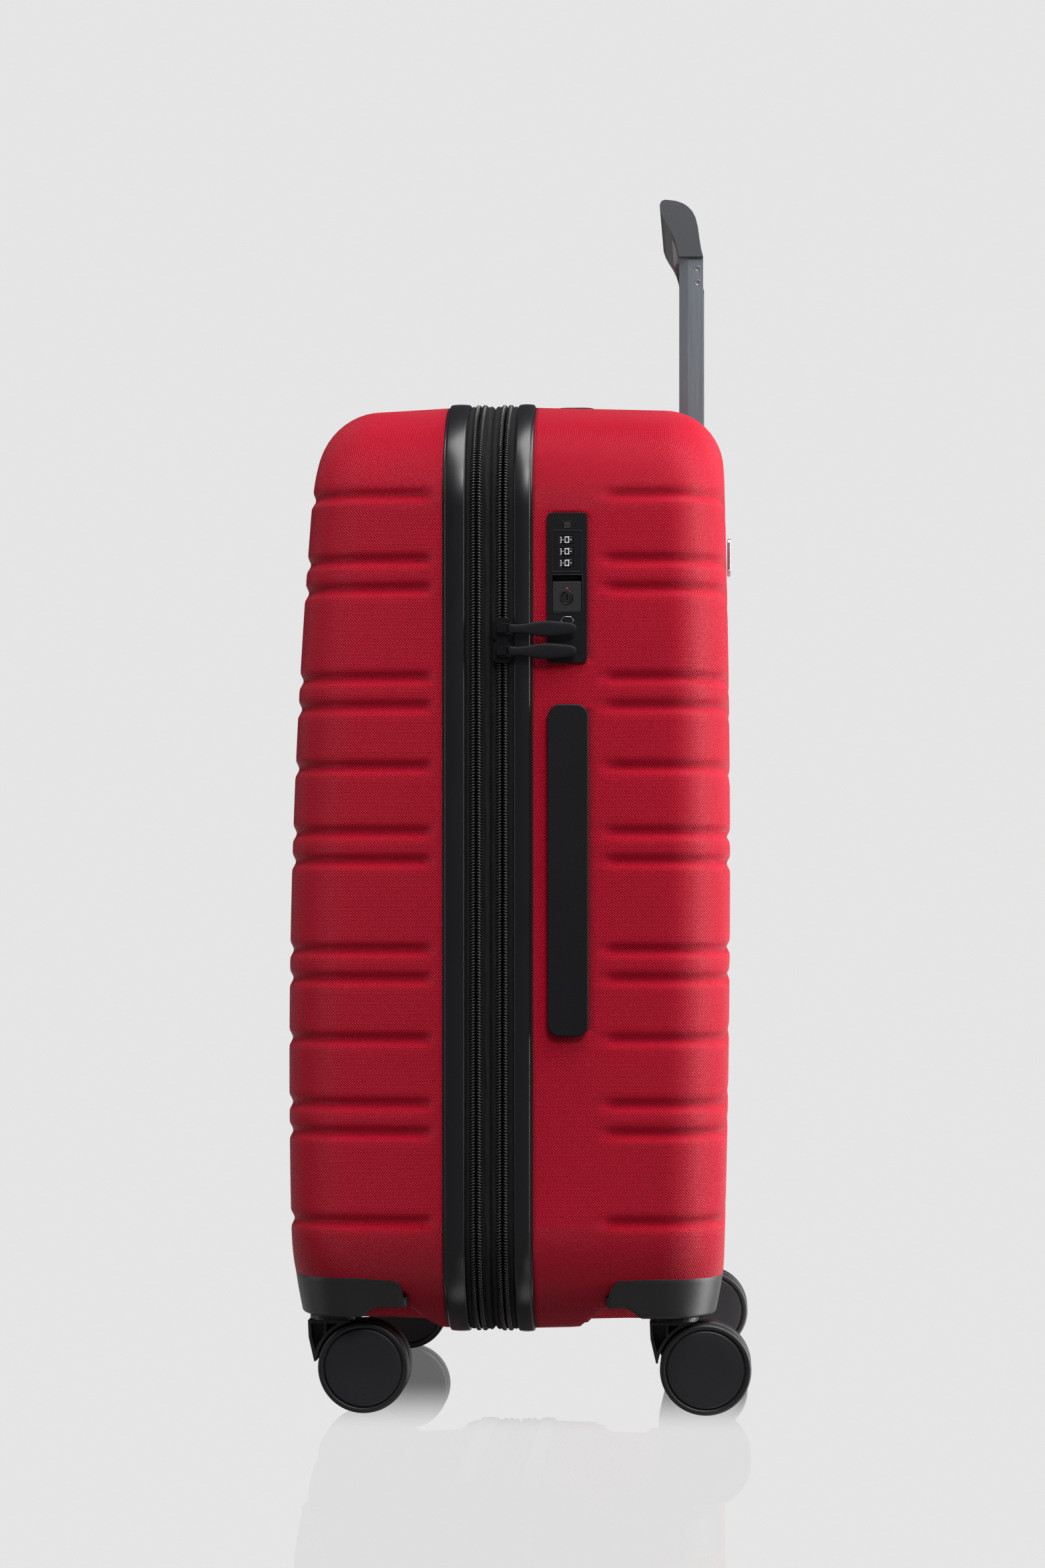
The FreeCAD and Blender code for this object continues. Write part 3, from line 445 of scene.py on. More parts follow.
def half_case(rim, face, bow, grow=0.0, edge=EDGE, rows=300, cols=70, grooves=None, dent=None):
    """One half of the case as a surface: side walls, a round edge and a gently bowed face.

    Round the outline the wall is a section of (inset, depth) points: a straight drafted wall,
    then a quarter circle. The face is a Coons patch between the section's last points, and its
    depth is a parabola of the height. Returns points, quads and sheet coordinates, in which the
    wall is unrolled outwards from the face's edge.
    """
    direction = math.copysign(1, face - rim)
    side = dense_runs(SIDE_RUN, rows, 0.0)
    end = np.linspace(0, END_RUN, cols + 1)
    runs = np.concatenate([side[:-1], SIDE_RUN + end[:-1], SIDE_RUN + END_RUN + (SIDE_RUN - side[::-1])[:-1],
                           2 * SIDE_RUN + END_RUN + end[:-1]])
    x, z, nx, nz = outline_at(runs)
    x, z = x + nx * grow, z + nz * grow
    reach = edge + grow
    wall_t = np.concatenate([[0, 0.03, 0.06, 0.10, 0.14], np.linspace(0.20, 1, 13)])
    arc = np.linspace(0, math.pi / 2, 13)[1:]
    inset = np.concatenate([SIDE_DRAFT * wall_t, SIDE_DRAFT + reach * (1 - np.cos(arc))])

    def face_depth(px, pz):
        return face + direction * (grow - face_lean(px, pz, bow))

    wall_x = x[:, None] - nx[:, None] * inset
    wall_z = z[:, None] - nz[:, None] * inset
    depth_face = face_depth(wall_x, wall_z)
    start_of_arc = depth_face - direction * reach
    wall_y = np.where(
        np.arange(len(inset)) < len(wall_t),
        rim + (start_of_arc - rim) * np.concatenate([wall_t, np.ones(len(arc))]),
        start_of_arc + direction * reach * np.concatenate([0 * wall_t, np.sin(arc)]),
    )
    turn = np.concatenate([0 * wall_t, arc])
    out = np.stack([nx[:, None] * np.cos(turn), direction * np.sin(turn) + 0 * nx[:, None],
                    nz[:, None] * np.cos(turn)], axis=-1)
    walls = np.stack([wall_x, wall_y, wall_z], axis=-1)
    steps = np.linalg.norm(np.diff(walls, axis=1), axis=-1)
    from_face = np.concatenate([np.cumsum(steps[:, ::-1], axis=1)[:, ::-1], 0 * steps[:, :1]], axis=1)
    edge_x, edge_z = wall_x[:, -1:], wall_z[:, -1:]
    sheet = np.stack([edge_x + nx[:, None] * from_face, edge_z + nz[:, None] * from_face], axis=-1)
    sections = len(inset)
    loop = len(runs)
    points = walls.reshape(-1, 3)
    outward = out.reshape(-1, 3)
    sheets = sheet.reshape(-1, 2)
    quads = grid_quads(loop, sections, wrap_rows=True, flip=direction > 0)

    # The face: rows from the right edge to the left, filled between the four edges.
    last = np.arange(loop) * sections + sections - 1
    right = last[: rows + 1]
    top = last[rows: rows + cols + 1]
    left = last[rows + cols: 2 * rows + cols + 1][::-1]
    bottom = np.concatenate([last[2 * rows + cols:], last[:1]])[::-1]
    t = (side / SIDE_RUN)[:, None, None]
    w = np.linspace(0, 1, cols + 1)[None, :, None]
    flat = points[:, [0, 2]]
    patch = ((1 - w) * flat[right][:, None] + w * flat[left][:, None]
             + (1 - t) * flat[bottom][None] + t * flat[top][None]
             - (1 - w) * (1 - t) * flat[right[0]] - w * (1 - t) * flat[left[0]]
             - (1 - w) * t * flat[right[-1]] - w * t * flat[left[-1]])
    index = np.arange((rows + 1) * (cols + 1)).reshape(rows + 1, cols + 1) + len(points)
    index[:, 0], index[:, -1], index[0], index[-1] = right, left, bottom, top
    inner = index[1:-1, 1:-1]
    px, pz = patch[1:-1, 1:-1, 0].ravel(), patch[1:-1, 1:-1, 1].ravel()
    new_points = np.stack([px, face_depth(px, pz), pz], axis=-1)
    lookup = np.full(index.max() + 1, -1)
    lookup[: len(points)] = np.arange(len(points))
    lookup[inner.ravel()] = len(points) + np.arange(inner.size)
    index = lookup[index]
    a, b = index[:-1, :-1], index[:-1, 1:]
    c, d = index[1:, 1:], index[1:, :-1]
    face_quads = np.stack([a, b, c, d], axis=-1).reshape(-1, 4)
    quads = np.concatenate([quads, face_quads if direction < 0 else face_quads[:, ::-1]])
    points = np.concatenate([points, new_points])
    outward = np.concatenate([outward, np.tile([0, direction, 0], (len(new_points), 1))])
    sheets = np.concatenate([sheets, np.stack([px, pz], axis=-1)])
    if grooves is not None:
        points = points - outward * grooves(points)[:, None]
    if dent is not None:
        points = dent(points)
    return points, quads, sheets


def grooved(start, fade):
    """Groove depth that fades in from a depth on the side walls, towards the face."""
    direction = math.copysign(1, fade)

    def depth(points):
        ease = smooth_step(0, abs(fade), direction * (points[:, 1] - start))
        return groove_depth(points[:, 2]) * ease

    return depth


def keep_outside(block_low, block_high):
    """True for quads whose middle lies inside a box: those faces are cut away."""
    low, high = np.array(block_low), np.array(block_high)

    def inside(middles):
        return np.all((middles > low) & (middles < high), axis=1)

    return inside


def make_shell(name, body, rim, face, bow, grooves, rise, openings):
    points, quads, sheet = half_case(rim, face, bow, grooves=grooves, dent=rise)
    middles = points[quads].mean(axis=1)
    cut = np.zeros(len(quads), bool)
    for inside in openings:
        cut |= inside(middles)
    shell = make_object(name, points, quads[~cut], body, red, uv=sheet)
    wall = shell.modifiers.new("wall", "SOLIDIFY")
    wall.thickness = SHELL_WALL
    wall.offset = -1
    wall.use_even_offset = True
    return shell


def well_rise(edge, direction):
    """The case's bottom swept up to the wheel housings: lifted by a smooth ramp beside each well."""
    def lift(points):
        beyond = np.maximum(direction * (edge - points[:, 1]), HOUSING_INNER - np.abs(points[:, 0]))
        rise = WELL_RISE * (1 - smooth_step(-3 * MM, WELL_RAMP, beyond))
        points[:, 2] = np.maximum(points[:, 2], BOTTOM + rise)
        return points
    return lift


def well_openings(node):
    low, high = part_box(node)
    inner = HOUSING_INNER + 2 * MM
    return [
        keep_outside((inner, low.y + 3 * MM, 0), (1, high.y - 3 * MM, WELL_SHELL_TOP)),
        keep_outside((-1, low.y + 3 * MM, 0), (-inner, high.y - 3 * MM, WELL_SHELL_TOP)),
    ]


front_skin = make_shell("front_shell_skin", "front_half", FRONT_RIM, FRONT_FACE, FRONT_BOW,
                        grooved(FRONT_RIM - 5 * MM, -7 * MM), well_rise(WELL_EDGE["front"], -1),
                        well_openings("front_wheel_housings"))
finish("front_shell")

bezel_low, bezel_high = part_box("trolley_top_bezel")
rear_openings = well_openings("rear_wheel_housings")
for node, reach in (("side_handle_pan", (4 * MM, 0, 0)), ("top_handle_pan", (0, 0, 4 * MM))):
    low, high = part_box(node)
    rear_openings.append(keep_outside(low, high + Vector(reach)))
rear_openings.append(keep_outside(bezel_low + Vector((FLANGE, FLANGE, 0)), bezel_high))
lock_low, lock_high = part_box("lock_housing")
flange = Vector((0, FLANGE, FLANGE))
rear_openings.append(keep_outside(lock_low + flange, lock_high - flange))
rear_skin = make_shell("rear_shell_skin", "rear_half", REAR_RIM, REAR_FACE, REAR_BOW,
                       grooved(54 * MM, 9 * MM), well_rise(WELL_EDGE["rear"], 1), rear_openings)
finish("rear_shell")


# ---- rings round the outline --------------------------------------------------------
def ring(name, profile, body, material, steps=520, wobble=None):
    """A closed profile of (outward, y) points carried once round the case's outline."""
    profile = np.asarray(profile, float)
    runs = np.linspace(0, PERIMETER, steps, endpoint=False)
    x, z, nx, nz = outline_at(runs)
    out = profile[:, 0] + (wobble(runs[:, None], profile[:, 1]) if wobble else 0 * runs[:, None])
    points = np.stack([x[:, None] + nx[:, None] * out, profile[:, 1] + 0 * runs[:, None],
                       z[:, None] + nz[:, None] * out], axis=-1)
    across = np.concatenate([[0], np.cumsum(np.linalg.norm(np.diff(profile, axis=0), axis=1))])
    sheet = np.stack([runs[:, None] + 0 * across, across + 0 * runs[:, None]], axis=-1)
    quads = grid_quads(steps, len(profile), wrap_rows=True, wrap_cols=True)
    piece = make_object(name, points, quads, body, material, uv=sheet.reshape(-1, 2), sharp=50)
    return piece


def rounded_profile(out_low, out_high, y_low, y_high, radius, crown=0.0, corner_steps=5):
    """A rectangle with round corners, as (outward, y) points, its outer side slightly bowed."""
    points = []
    for centre, first in (((out_high - radius, y_high - radius), 0), ((out_low + radius, y_high - radius), 1),
                          ((out_low + radius, y_low + radius), 2), ((out_high - radius, y_low + radius), 3)):
        for step in range(corner_steps + 1):
            angle = math.pi / 2 * (first + step / corner_steps)
            points.append((centre[0] + radius * math.cos(angle), centre[1] + radius * math.sin(angle)))
        if first == 3 and crown:
            for share in (0.2, 0.4, 0.6, 0.8):
                y = y_low + radius + (y_high - y_low - 2 * radius) * share
                points.append((out_high + crown * math.sin(math.pi * share), y))
    return points[::-1]


def node_span(node):
    low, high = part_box(node)
    return low.y, high.y, high.x - HALF_WIDTH


def make_trims():
    for node, lip_at_high in (("front_edge_trim", False), ("rear_edge_trim", True)):
        body = BODY_OF[node]
        y_low, y_high, proud = node_span(node)
        main_low = y_low + (0 if lip_at_high else 1.4 * MM)
        main_high = y_high - (1.4 * MM if lip_at_high else 0)
        profile = rounded_profile(-3.5 * MM, proud - 0.35 * MM, main_low, main_high, 1.5 * MM, 0.3 * MM)
        trim = ring(node + "_band", profile, body, trim_black)
        finish(node)
        lip_low, lip_high = (main_high - 0.9 * MM, y_high) if lip_at_high else (y_low, main_low + 0.9 * MM)
        lip_profile = rounded_profile(-1.0 * MM, 1.6 * MM, lip_low, lip_high, 0.7 * MM, corner_steps=4)
        lip = ring(node + "_lip", lip_profile, body, trim_black)
        finish(node, replace=False)


make_trims()


COIL_RISE = 1.1 * MM
COIL_LEAN = 0.75 * MM


def coil(name, y_inner, y_outer, proud, body):
    """Half of a spiral zip: a wire wound as a flat helix whose turns lean, carried round the case.

    Along the run the wire's point goes round an ellipse; the run itself swings back and forth
    with the turn, which leans the strands into the chevron of the closed zip.
    """
    pitch = 1.9 * MM
    turns = int(PERIMETER / pitch)
    per_turn, sides, wire = 9, 6, 0.52 * MM
    count = turns * per_turn
    phase = np.arange(count) * (2 * math.pi / per_turn)
    run = np.arange(count) * (PERIMETER / count)
    half = abs(y_outer - y_inner) / 2 - wire
    centre_y = (y_outer + y_inner) / 2
    toward = math.copysign(1, y_inner - y_outer)
    y = centre_y + toward * half * np.cos(phase)
    out = proud - wire - COIL_RISE + COIL_RISE * np.sin(phase)
    lean = COIL_LEAN * np.cos(phase)

    x, z, nx, nz = outline_at(run + lean)
    path = np.stack([x + nx * out, y, z + nz * out], axis=-1)
    normal = np.stack([nx, 0 * nx, nz], axis=-1)
    tangent = np.roll(path, -1, axis=0) - np.roll(path, 1, axis=0)
    tangent /= np.linalg.norm(tangent, axis=1)[:, None]
    first = np.cross(tangent, normal)
    first /= np.linalg.norm(first, axis=1)[:, None] + 1e-9
    second = np.cross(tangent, first)
    angle = np.arange(sides) * (2 * math.pi / sides)
    points = (path[:, None] + wire * (np.cos(angle)[None, :, None] * first[:, None]
                                      + np.sin(angle)[None, :, None] * second[:, None]))
    quads = grid_quads(count, sides, wrap_rows=True, wrap_cols=True)
    piece = make_object(name, points, quads, body, coil_black)
    return piece


def cloth_waves(depth):
    def wobble(run, y):
        turn = 2 * math.pi * run / PERIMETER
        long_waves = np.sin(turn * 37 + y * 900) + 0.6 * np.sin(turn * 61 + 1.3)
        return depth * (long_waves + 0.4 * np.sin(turn * 23 + y * 1500))
    return wobble


def make_zips():
    for node, body, inner_is_high in (
        ("expansion_zip_front_tape", "front_half", True), ("expansion_zip_rear_tape", "lid", False),
        ("main_zip_front_tape", "lid", True), ("main_zip_rear_tape", "rear_half", False),
    ):
        y_low, y_high, proud = node_span(node)
        inner, outer = (y_high, y_low) if inner_is_high else (y_low, y_high)
        toward = math.copysign(1, outer - inner)
        coil_outer = inner + toward * 3.4 * MM
        fold = outer - coil_outer
        profile = [
            (0.6 * MM, inner + toward * 0.3 * MM), (1.2 * MM, inner + toward * 1.6 * MM),
            (1.5 * MM, coil_outer), (2.4 * MM, coil_outer + fold * 0.35),
            (2.2 * MM, coil_outer + fold * 0.7), (1.0 * MM, outer),
            (-1.6 * MM, outer), (-2.0 * MM, coil_outer), (-1.2 * MM, inner + toward * 0.3 * MM),
        ]
        if inner_is_high:
            profile = profile[::-1]
        tape = ring(node + "_cloth", profile[::-1], body, tape_cloth, 400, cloth_waves(0.08 * MM))
        finish(node)
        coil(node + "_coil", inner, coil_outer, proud, body)
    y_low, y_high, _ = node_span("middle_band")
    middle = (y_low + y_high) / 2
    half = (y_high - y_low) / 2
    lobe = [(-3.0, 1.0), (1.4, 1.22), (2.7, 0.85), (2.6, 0.55), (1.2, 0.22)]
    bulge = [(out, -share) for out, share in lobe] + [(-0.9, 0.0)] + lobe[::-1]
    profile = [(out * MM, middle + share * half) for out, share in bulge]
    band = ring("middle_band_cloth", profile, "lid", band_cloth, 600, cloth_waves(0.22 * MM))
    finish("middle_band")


make_zips()


# ---- pieces that keep the frame's solid, with its edges rounded ---------------------
FINISH = {
    "black_plastic": moulded_black, "housing_plastic": moulded_black, "fork_plastic": fork_black,
    "handle_rubber": rubber_black, "feet_rubber": rubber_black, "pull_rubber": rubber_black,
    "zip_metal": slider_black, "lock_plastic": lock_black, "dial_plastic": dial_black, "key_metal": key_steel,
    "tube_metal": pole_metal, "rod_metal": steel, "screw_metal": steel, "grip_plastic": grip_grey,
    "plate_metal": plate_alloy, "wheel_plastic": wheel_black, "tyre": tyre_black, "red_shell": red,
    "black_trim": trim_black, "lining_cloth": lining_cloth, "zip_tape": tape_cloth, "band_cloth": band_cloth,
    "webbing": strap_cloth, "pocket_mesh": pocket_cloth,
}


def soften(node, width, segments=2, angle=32):
    """The frame's own solid with its flat faces joined again and its edges rounded."""
    source = frame["nodes"][node]
    mesh = source.data.copy()
    mesh.name = node + "_rounded"
    mesh.transform(source.matrix_world)
    work = bmesh.new()
    work.from_mesh(mesh)
    bmesh.ops.remove_doubles(work, verts=work.verts, dist=0.01 * MM)
    bmesh.ops.dissolve_limit(work, angle_limit=math.radians(1.0), verts=work.verts, edges=work.edges)
    bmesh.ops.recalc_face_normals(work, faces=work.faces)
    work.to_mesh(mesh)
    work.free()
    mesh.materials.clear()
    mesh.materials.append(FINISH[SLOT_OF[node]])
    mesh.polygons.foreach_set("use_smooth", np.full(len(mesh.polygons), True))
    mesh.set_sharp_from_angle(angle=math.radians(30))
    piece = bpy.data.objects.new(node + "_rounded", mesh)
    scene.collection.objects.link(piece)
    bevel = piece.modifiers.new("rounded edges", "BEVEL")
    bevel.width = width
    bevel.segments = segments
    bevel.limit_method = "ANGLE"
    bevel.angle_limit = math.radians(angle)
    bevel.harden_normals = True
    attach(piece, BODY_OF[node])
    finish(node)
    return piece


ROUNDED = {
    "side_handle": 1.5, "top_handle": 1.5, "side_handle_pan": 0.5, "top_handle_pan": 0.5,
    "lock_housing": 0.45, "lock_release_button": 0.5, "lock_reset_button": 0.3, "lock_key_cylinder": 0.3,
    "lock_dial_1": 0.35, "lock_dial_2": 0.35, "lock_dial_3": 0.35,
    "main_slider_upper": 0.6, "main_slider_lower": 0.6, "expansion_slider": 0.6,
    "trolley_top_tubes": 0.5, "trolley_mid_tubes": 0.3, "trolley_outer_tubes": 0.3, "trolley_grip": 2.2,
    "grip_button": 0.6, "grip_screws": 0.2, "release_rods": 0.3, "trolley_top_bezel": 1.2,
    "trolley_foot_bracket": 1.0, "packing_buckle": 1.0, "front_side_feet": 1.6, "rear_side_feet": 1.6,
    "rear_name_plate": 0.5,
    "front_right_fork": 0.6, "front_left_fork": 0.6, "rear_right_fork": 0.6, "rear_left_fork": 0.6,
}
for node, width in ROUNDED.items():
    soften(node, width * MM, 3 if width > 1 else 2)


# ---- casters ------------------------------------------------------------------------
STEM_X = 172.5 * MM
CASTERS = (("front", -123.5 * MM), ("rear", 101.5 * MM))
TRAIL = 20.6 * MM
WHEEL = 30 * MM


def lathe(profile, centre, sign, steps=72):
    """A closed (distance along X, radius) profile turned round a line parallel to X."""
    profile = np.asarray(profile, float) * MM
    angle = np.arange(steps) * (2 * math.pi / steps)
    x = centre[0] + sign * profile[:, 0]
    y = centre[1] + profile[:, 1] * np.cos(angle)[:, None]
    z = centre[2] + profile[:, 1] * np.sin(angle)[:, None]
    points = np.stack([x + 0 * y, y, z], axis=-1)
    quads = grid_quads(steps, len(profile), wrap_rows=True, wrap_cols=True, flip=sign < 0)
    return points.reshape(-1, 3), quads


TYRE = [(0.3, 26.3), (0.0, 27.0), (0.0, 28.2), (0.25, 29.1), (0.9, 29.7), (1.9, 30.0), (6.0, 30.0),
        (10.1, 30.0), (11.1, 29.7), (11.75, 29.1), (12.0, 28.2), (12.0, 27.2), (11.8, 26.7), (11.4, 26.4),
        (10.6, 26.3)]
CORE = [(11.55, 0.0), (11.6, 8.0), (11.7, 16.0), (11.75, 24.2), (11.65, 24.9), (11.3, 25.4), (10.6, 25.6),
        (10.4, 25.9), (10.4, 26.2), (1.0, 26.2), (0.5, 25.6), (0.5, 20.0), (2.2, 18.5), (2.2, 8.5),
        (0.5, 7.0), (0.5, 0.0)]


def make_wheels():
    for end, stem_y in CASTERS:
        for label, side in (("right", 1), ("left", -1)):
            body = "%s_%s_wheels" % (end, label)
            tyres, cores = [], []
            for sign in (1, -1):
                centre = (side * STEM_X + sign * 5.0 * MM, stem_y + TRAIL, WHEEL)
                tyres.append(lathe(TYRE, centre, sign, 96))
                cores.append(lathe(CORE, centre, sign, 96))
            cores.append(lathe([(-6.0, 0.0), (-6.0, 2.9), (6.0, 2.9), (6.0, 0.0)],
                               (side * STEM_X, stem_y + TRAIL, WHEEL), 1, 24))
            for parts, kind, material in ((tyres, "tyres", tyre_black), (cores, "wheel_cores", wheel_black)):
                points, quads = joined(parts)
                node = "%s_%s_%s" % (end, label, kind)
                piece = make_object(node + "_turned", points, quads, body, material)
                close_poles(piece)
                piece.data.set_sharp_from_angle(angle=math.radians(40))
                finish(node)


make_wheels()


# ---- wheel housings -----------------------------------------------------------------
HOUSING_TOP = 91.5 * MM
HOUSING_LOW = 65.0 * MM
ARM_LIFT = 6.5 * MM
HOUSING_PROUD = 1.4 * MM
HOUSING_LEAN = 4.4 * MM
ARM_ROUND = 10 * MM
ARM_FALL = 13 * MM
HEAD_PLACES = ((-21 * MM, 0), (13 * MM, 17 * MM), (14 * MM, -12 * MM))


def case_plan(rim, face, bow, z, grow):
    """The case's outline seen from above at one height near the bottom: (x, y) from side to face."""
    direction = math.copysign(1, face - rim)
    reach = EDGE + grow
    drop = BOTTOM + CORNER - z
    most = CORNER + grow - drop
    turn_end = math.acos(max(-1.0, 1 - (most - SIDE_DRAFT) / reach))
    turn = np.linspace(0, turn_end, 60)
    inset = SIDE_DRAFT + reach * (1 - np.cos(turn))
    x = HALF_WIDTH - CORNER + np.sqrt(np.maximum((CORNER + grow - inset) ** 2 - drop ** 2, 0))
    y = face + direction * (grow - face_lean(x, z, bow) - reach * (1 - np.sin(turn)))
    return x, y


LOOP_REACH = 9
LOOP_WEIGHTS = np.exp(-0.5 * (np.arange(-LOOP_REACH, LOOP_REACH + 1) / 3.0) ** 2)
LOOP_WEIGHTS /= LOOP_WEIGHTS.sum()


def smoothed(loop):
    """A closed loop's values averaged with their neighbours under a bell of weights."""
    shifts = range(-LOOP_REACH, LOOP_REACH + 1)
    return sum(weight * np.roll(loop, shift, axis=0) for shift, weight in zip(shifts, LOOP_WEIGHTS))


def housing_outline(end, rim, face, bow, count=260):
    direction = math.copysign(1, face - rim)
    x, y = case_plan(rim, face, bow, HOUSING_TOP, HOUSING_PROUD)
    edge = WELL_EDGE[end]
    loop = np.concatenate([
        [[x[0] + 0.3 * MM, edge]],
        np.stack([x, y], axis=-1),
        [[HOUSING_INNER, y[-1]], [HOUSING_INNER, edge]],
    ])
    closed = np.concatenate([loop, loop[:1]])
    length = np.concatenate([[0], np.cumsum(np.linalg.norm(np.diff(closed, axis=0), axis=1))])
    even = np.linspace(0, length[-1], count, endpoint=False)
    points = np.stack([np.interp(even, length, closed[:, i]) for i in (0, 1)], axis=-1)
    return smoothed(points), direction


def housing(end, side, rim, face, bow, stem_y):
    """A corner cup: stacked loops of the case's plan outline, drawn in towards the caster below.

    The outer walls lean inwards with depth; the lower edge is a cup round the stem that rises in
    an S to the thinner arms; the arm's far upper corner is round.
    """
    outline, direction = housing_outline(end, rim, face, bow)
    tangent = np.roll(outline, -1, axis=0) - np.roll(outline, 1, axis=0)
    tangent /= np.linalg.norm(tangent, axis=1)[:, None]
    turned = np.stack([tangent[:, 1], -tangent[:, 0]], axis=-1)
    centre = outline.mean(axis=0)
    outward = turned * np.sign(((outline - centre) * turned).sum(axis=1).mean())
    push = outward * np.clip(np.maximum(0.45 * outward[:, 0], direction * outward[:, 1]), 0, 1)[:, None]
    push = smoothed(push)
    toward = -direction * (outline[:, 1] - stem_y)
    end_line = abs(WELL_EDGE[end] - stem_y) - 2.5 * MM
    into = np.clip((toward - end_line) / ARM_ROUND + 1, 0, 1)
    top = HOUSING_TOP - ARM_FALL * (1 - np.sqrt(1 - into ** 2))

    def low_at(xy):
        along = -direction * (xy[..., 1] - stem_y)
        inward = STEM_X - xy[..., 0]
        rise = np.maximum(smooth_step(20 * MM, 31 * MM, along), smooth_step(24 * MM, 34 * MM, inward))
        return HOUSING_LOW + ARM_LIFT * rise

    low = low_at(outline)
    loops = []
    for inset, drop in ((1.25, 1.5), (1.25, 0.3), (1.0, 0.05), (0.6, 0.0), (0.2, 0.2), (0.0, 0.8)):
        loops.append(np.column_stack([outline - outward * inset * MM, top - drop * MM]))
    edge = 2.4 * MM
    for share in np.linspace(0.12, 1, 9):
        z = top - 0.8 * MM - (top - 0.8 * MM - low - edge) * share
        depth = (HOUSING_TOP - z) / (HOUSING_TOP - HOUSING_LOW)
        drawn_in = (0.3 * MM * outward + HOUSING_LEAN * push) * depth[:, None] ** 1.2
        loops.append(np.column_stack([outline - drawn_in, z]))
    last = loops[-1]
    for turn in np.linspace(0, math.pi / 2, 6)[1:]:
        inset = edge * (1 - math.cos(turn))
        loops.append(np.column_stack([last[:, :2] - outward * inset, last[:, 2] - edge * math.sin(turn)]))
    rim_loop = loops[-1][:, :2]
    stem = np.array([STEM_X, stem_y])
    for share in (0.9, 0.78, 0.66, 0.54, 0.42, 0.3, 0.16, 0.0):
        flat = stem + (rim_loop - stem) * share
        loops.append(np.column_stack([flat, low_at(flat)]))
    inner = loops[0]
    for share in (0.6, 0.0):
        flat = stem + (inner[:, :2] - stem) * share
        loops.insert(0, np.column_stack([flat, 0 * flat[:, 0] + 76 * MM]))
    points = np.stack(loops)
    points[..., 0] *= side
    flip = (direction > 0) != (side > 0)
    return points.reshape(-1, 3), grid_quads(len(loops), points.shape[1], wrap_cols=True, flip=flip)


def screw_head(x, y, steps=24):
    """A domed screw head sunk in the cup's underside: a small profile turned round a vertical line."""
    profile = np.array([(0.0, 0.9), (0.9, 0.9), (1.1, 0.1), (2.1, 0.0), (2.5, 0.5), (2.6, 6.0),
                        (0.0, 6.0)]) * MM
    angle = np.arange(steps) * (2 * math.pi / steps)
    points = np.stack([x + profile[:, 0] * np.cos(angle)[:, None], y + profile[:, 0] * np.sin(angle)[:, None],
                       HOUSING_LOW - 0.4 * MM + profile[:, 1] + 0 * angle[:, None]], axis=-1)
    return points.reshape(-1, 3), grid_quads(steps, len(profile), wrap_rows=True)


def make_housings():
    halves = ((FRONT_RIM, FRONT_FACE, FRONT_BOW), (REAR_RIM, REAR_FACE, REAR_BOW))
    for (end, stem_y), (rim, face, bow) in zip(CASTERS, halves):
        points, quads = joined([housing(end, side, rim, face, bow, stem_y) for side in (1, -1)])
        node = end + "_wheel_housings"
        piece = make_object(node + "_cups", points, quads, BODY_OF[node], moulded_black)
        close_poles(piece, turn_faces=True)
        piece.data.set_sharp_from_angle(angle=math.radians(60))
        finish(node)
        heads = [screw_head(side * (STEM_X + dx), stem_y + dy) for side in (1, -1) for dx, dy in HEAD_PLACES]
        screws = make_object(end + "_screw_heads", *joined(heads), BODY_OF[node], slider_black)
        close_poles(screws)
        finish(end + "_housing_screws")


make_housings()


# ---- lock face ----------------------------------------------------------------------
LOCK_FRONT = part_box("lock_housing")[1].x
LOCK_MIDDLE = 32.6 * MM
DIAL_RADIUS = 8 * MM
DIAL_AXIS_X = LOCK_FRONT + 0.9 * MM - DIAL_RADIUS
DIAL_HEIGHTS = (570.7 * MM, 563.2 * MM, 555.7 * MM)
FIGURE = (1.15 * MM, 1.75 * MM, 0.27 * MM)
DASH_ACROSS = (-2.95 * MM, -2.05 * MM)
DASH_UP = (-0.2 * MM, 0.2 * MM)
SEGMENTS = {
    "top": (-1, 1, 1, 1), "middle": (-1, 0, 1, 0), "bottom": (-1, -1, 1, -1),
    "upper_left": (-1, 0, -1, 1), "upper_right": (1, 0, 1, 1),
    "lower_left": (-1, -1, -1, 0), "lower_right": (1, -1, 1, 0),
}
FIGURES = {
    0: "top bottom upper_left upper_right lower_left lower_right", 1: "upper_right lower_right",
    2: "top middle bottom upper_right lower_left", 3: "top middle bottom upper_right lower_right",
    4: "middle upper_left upper_right lower_right", 5: "top middle bottom upper_left lower_right",
    6: "top middle bottom upper_left lower_left lower_right", 7: "top upper_right lower_right",
    8: "top middle bottom upper_left upper_right lower_left lower_right",
    9: "top middle bottom upper_left upper_right lower_right",
}


def print_bar(across_span, up_span, turn, height):
    """A thin raised bar wrapped round a dial, between two distances along its rim."""
    across = np.linspace(*across_span, 4)
    up_low, up_high = up_span
    ring = [(0.03, 0), (0.10, 0), (0.10, 1), (0.03, 1)]
    points = []
    for out, high in ring:
        radius = DIAL_RADIUS + out * MM
        angle = turn + across / DIAL_RADIUS
        points.append(np.stack([DIAL_AXIS_X + radius * np.cos(angle), LOCK_MIDDLE + radius * np.sin(angle),
                                0 * angle + height + (up_high if high else up_low)], axis=-1))
    points = np.stack(points, axis=1)
    quads = grid_quads(4, 4, wrap_cols=True)
    ends = np.array([[0, 1, 2, 3], [15, 14, 13, 12]])
    return points.reshape(-1, 3), np.concatenate([quads, ends])


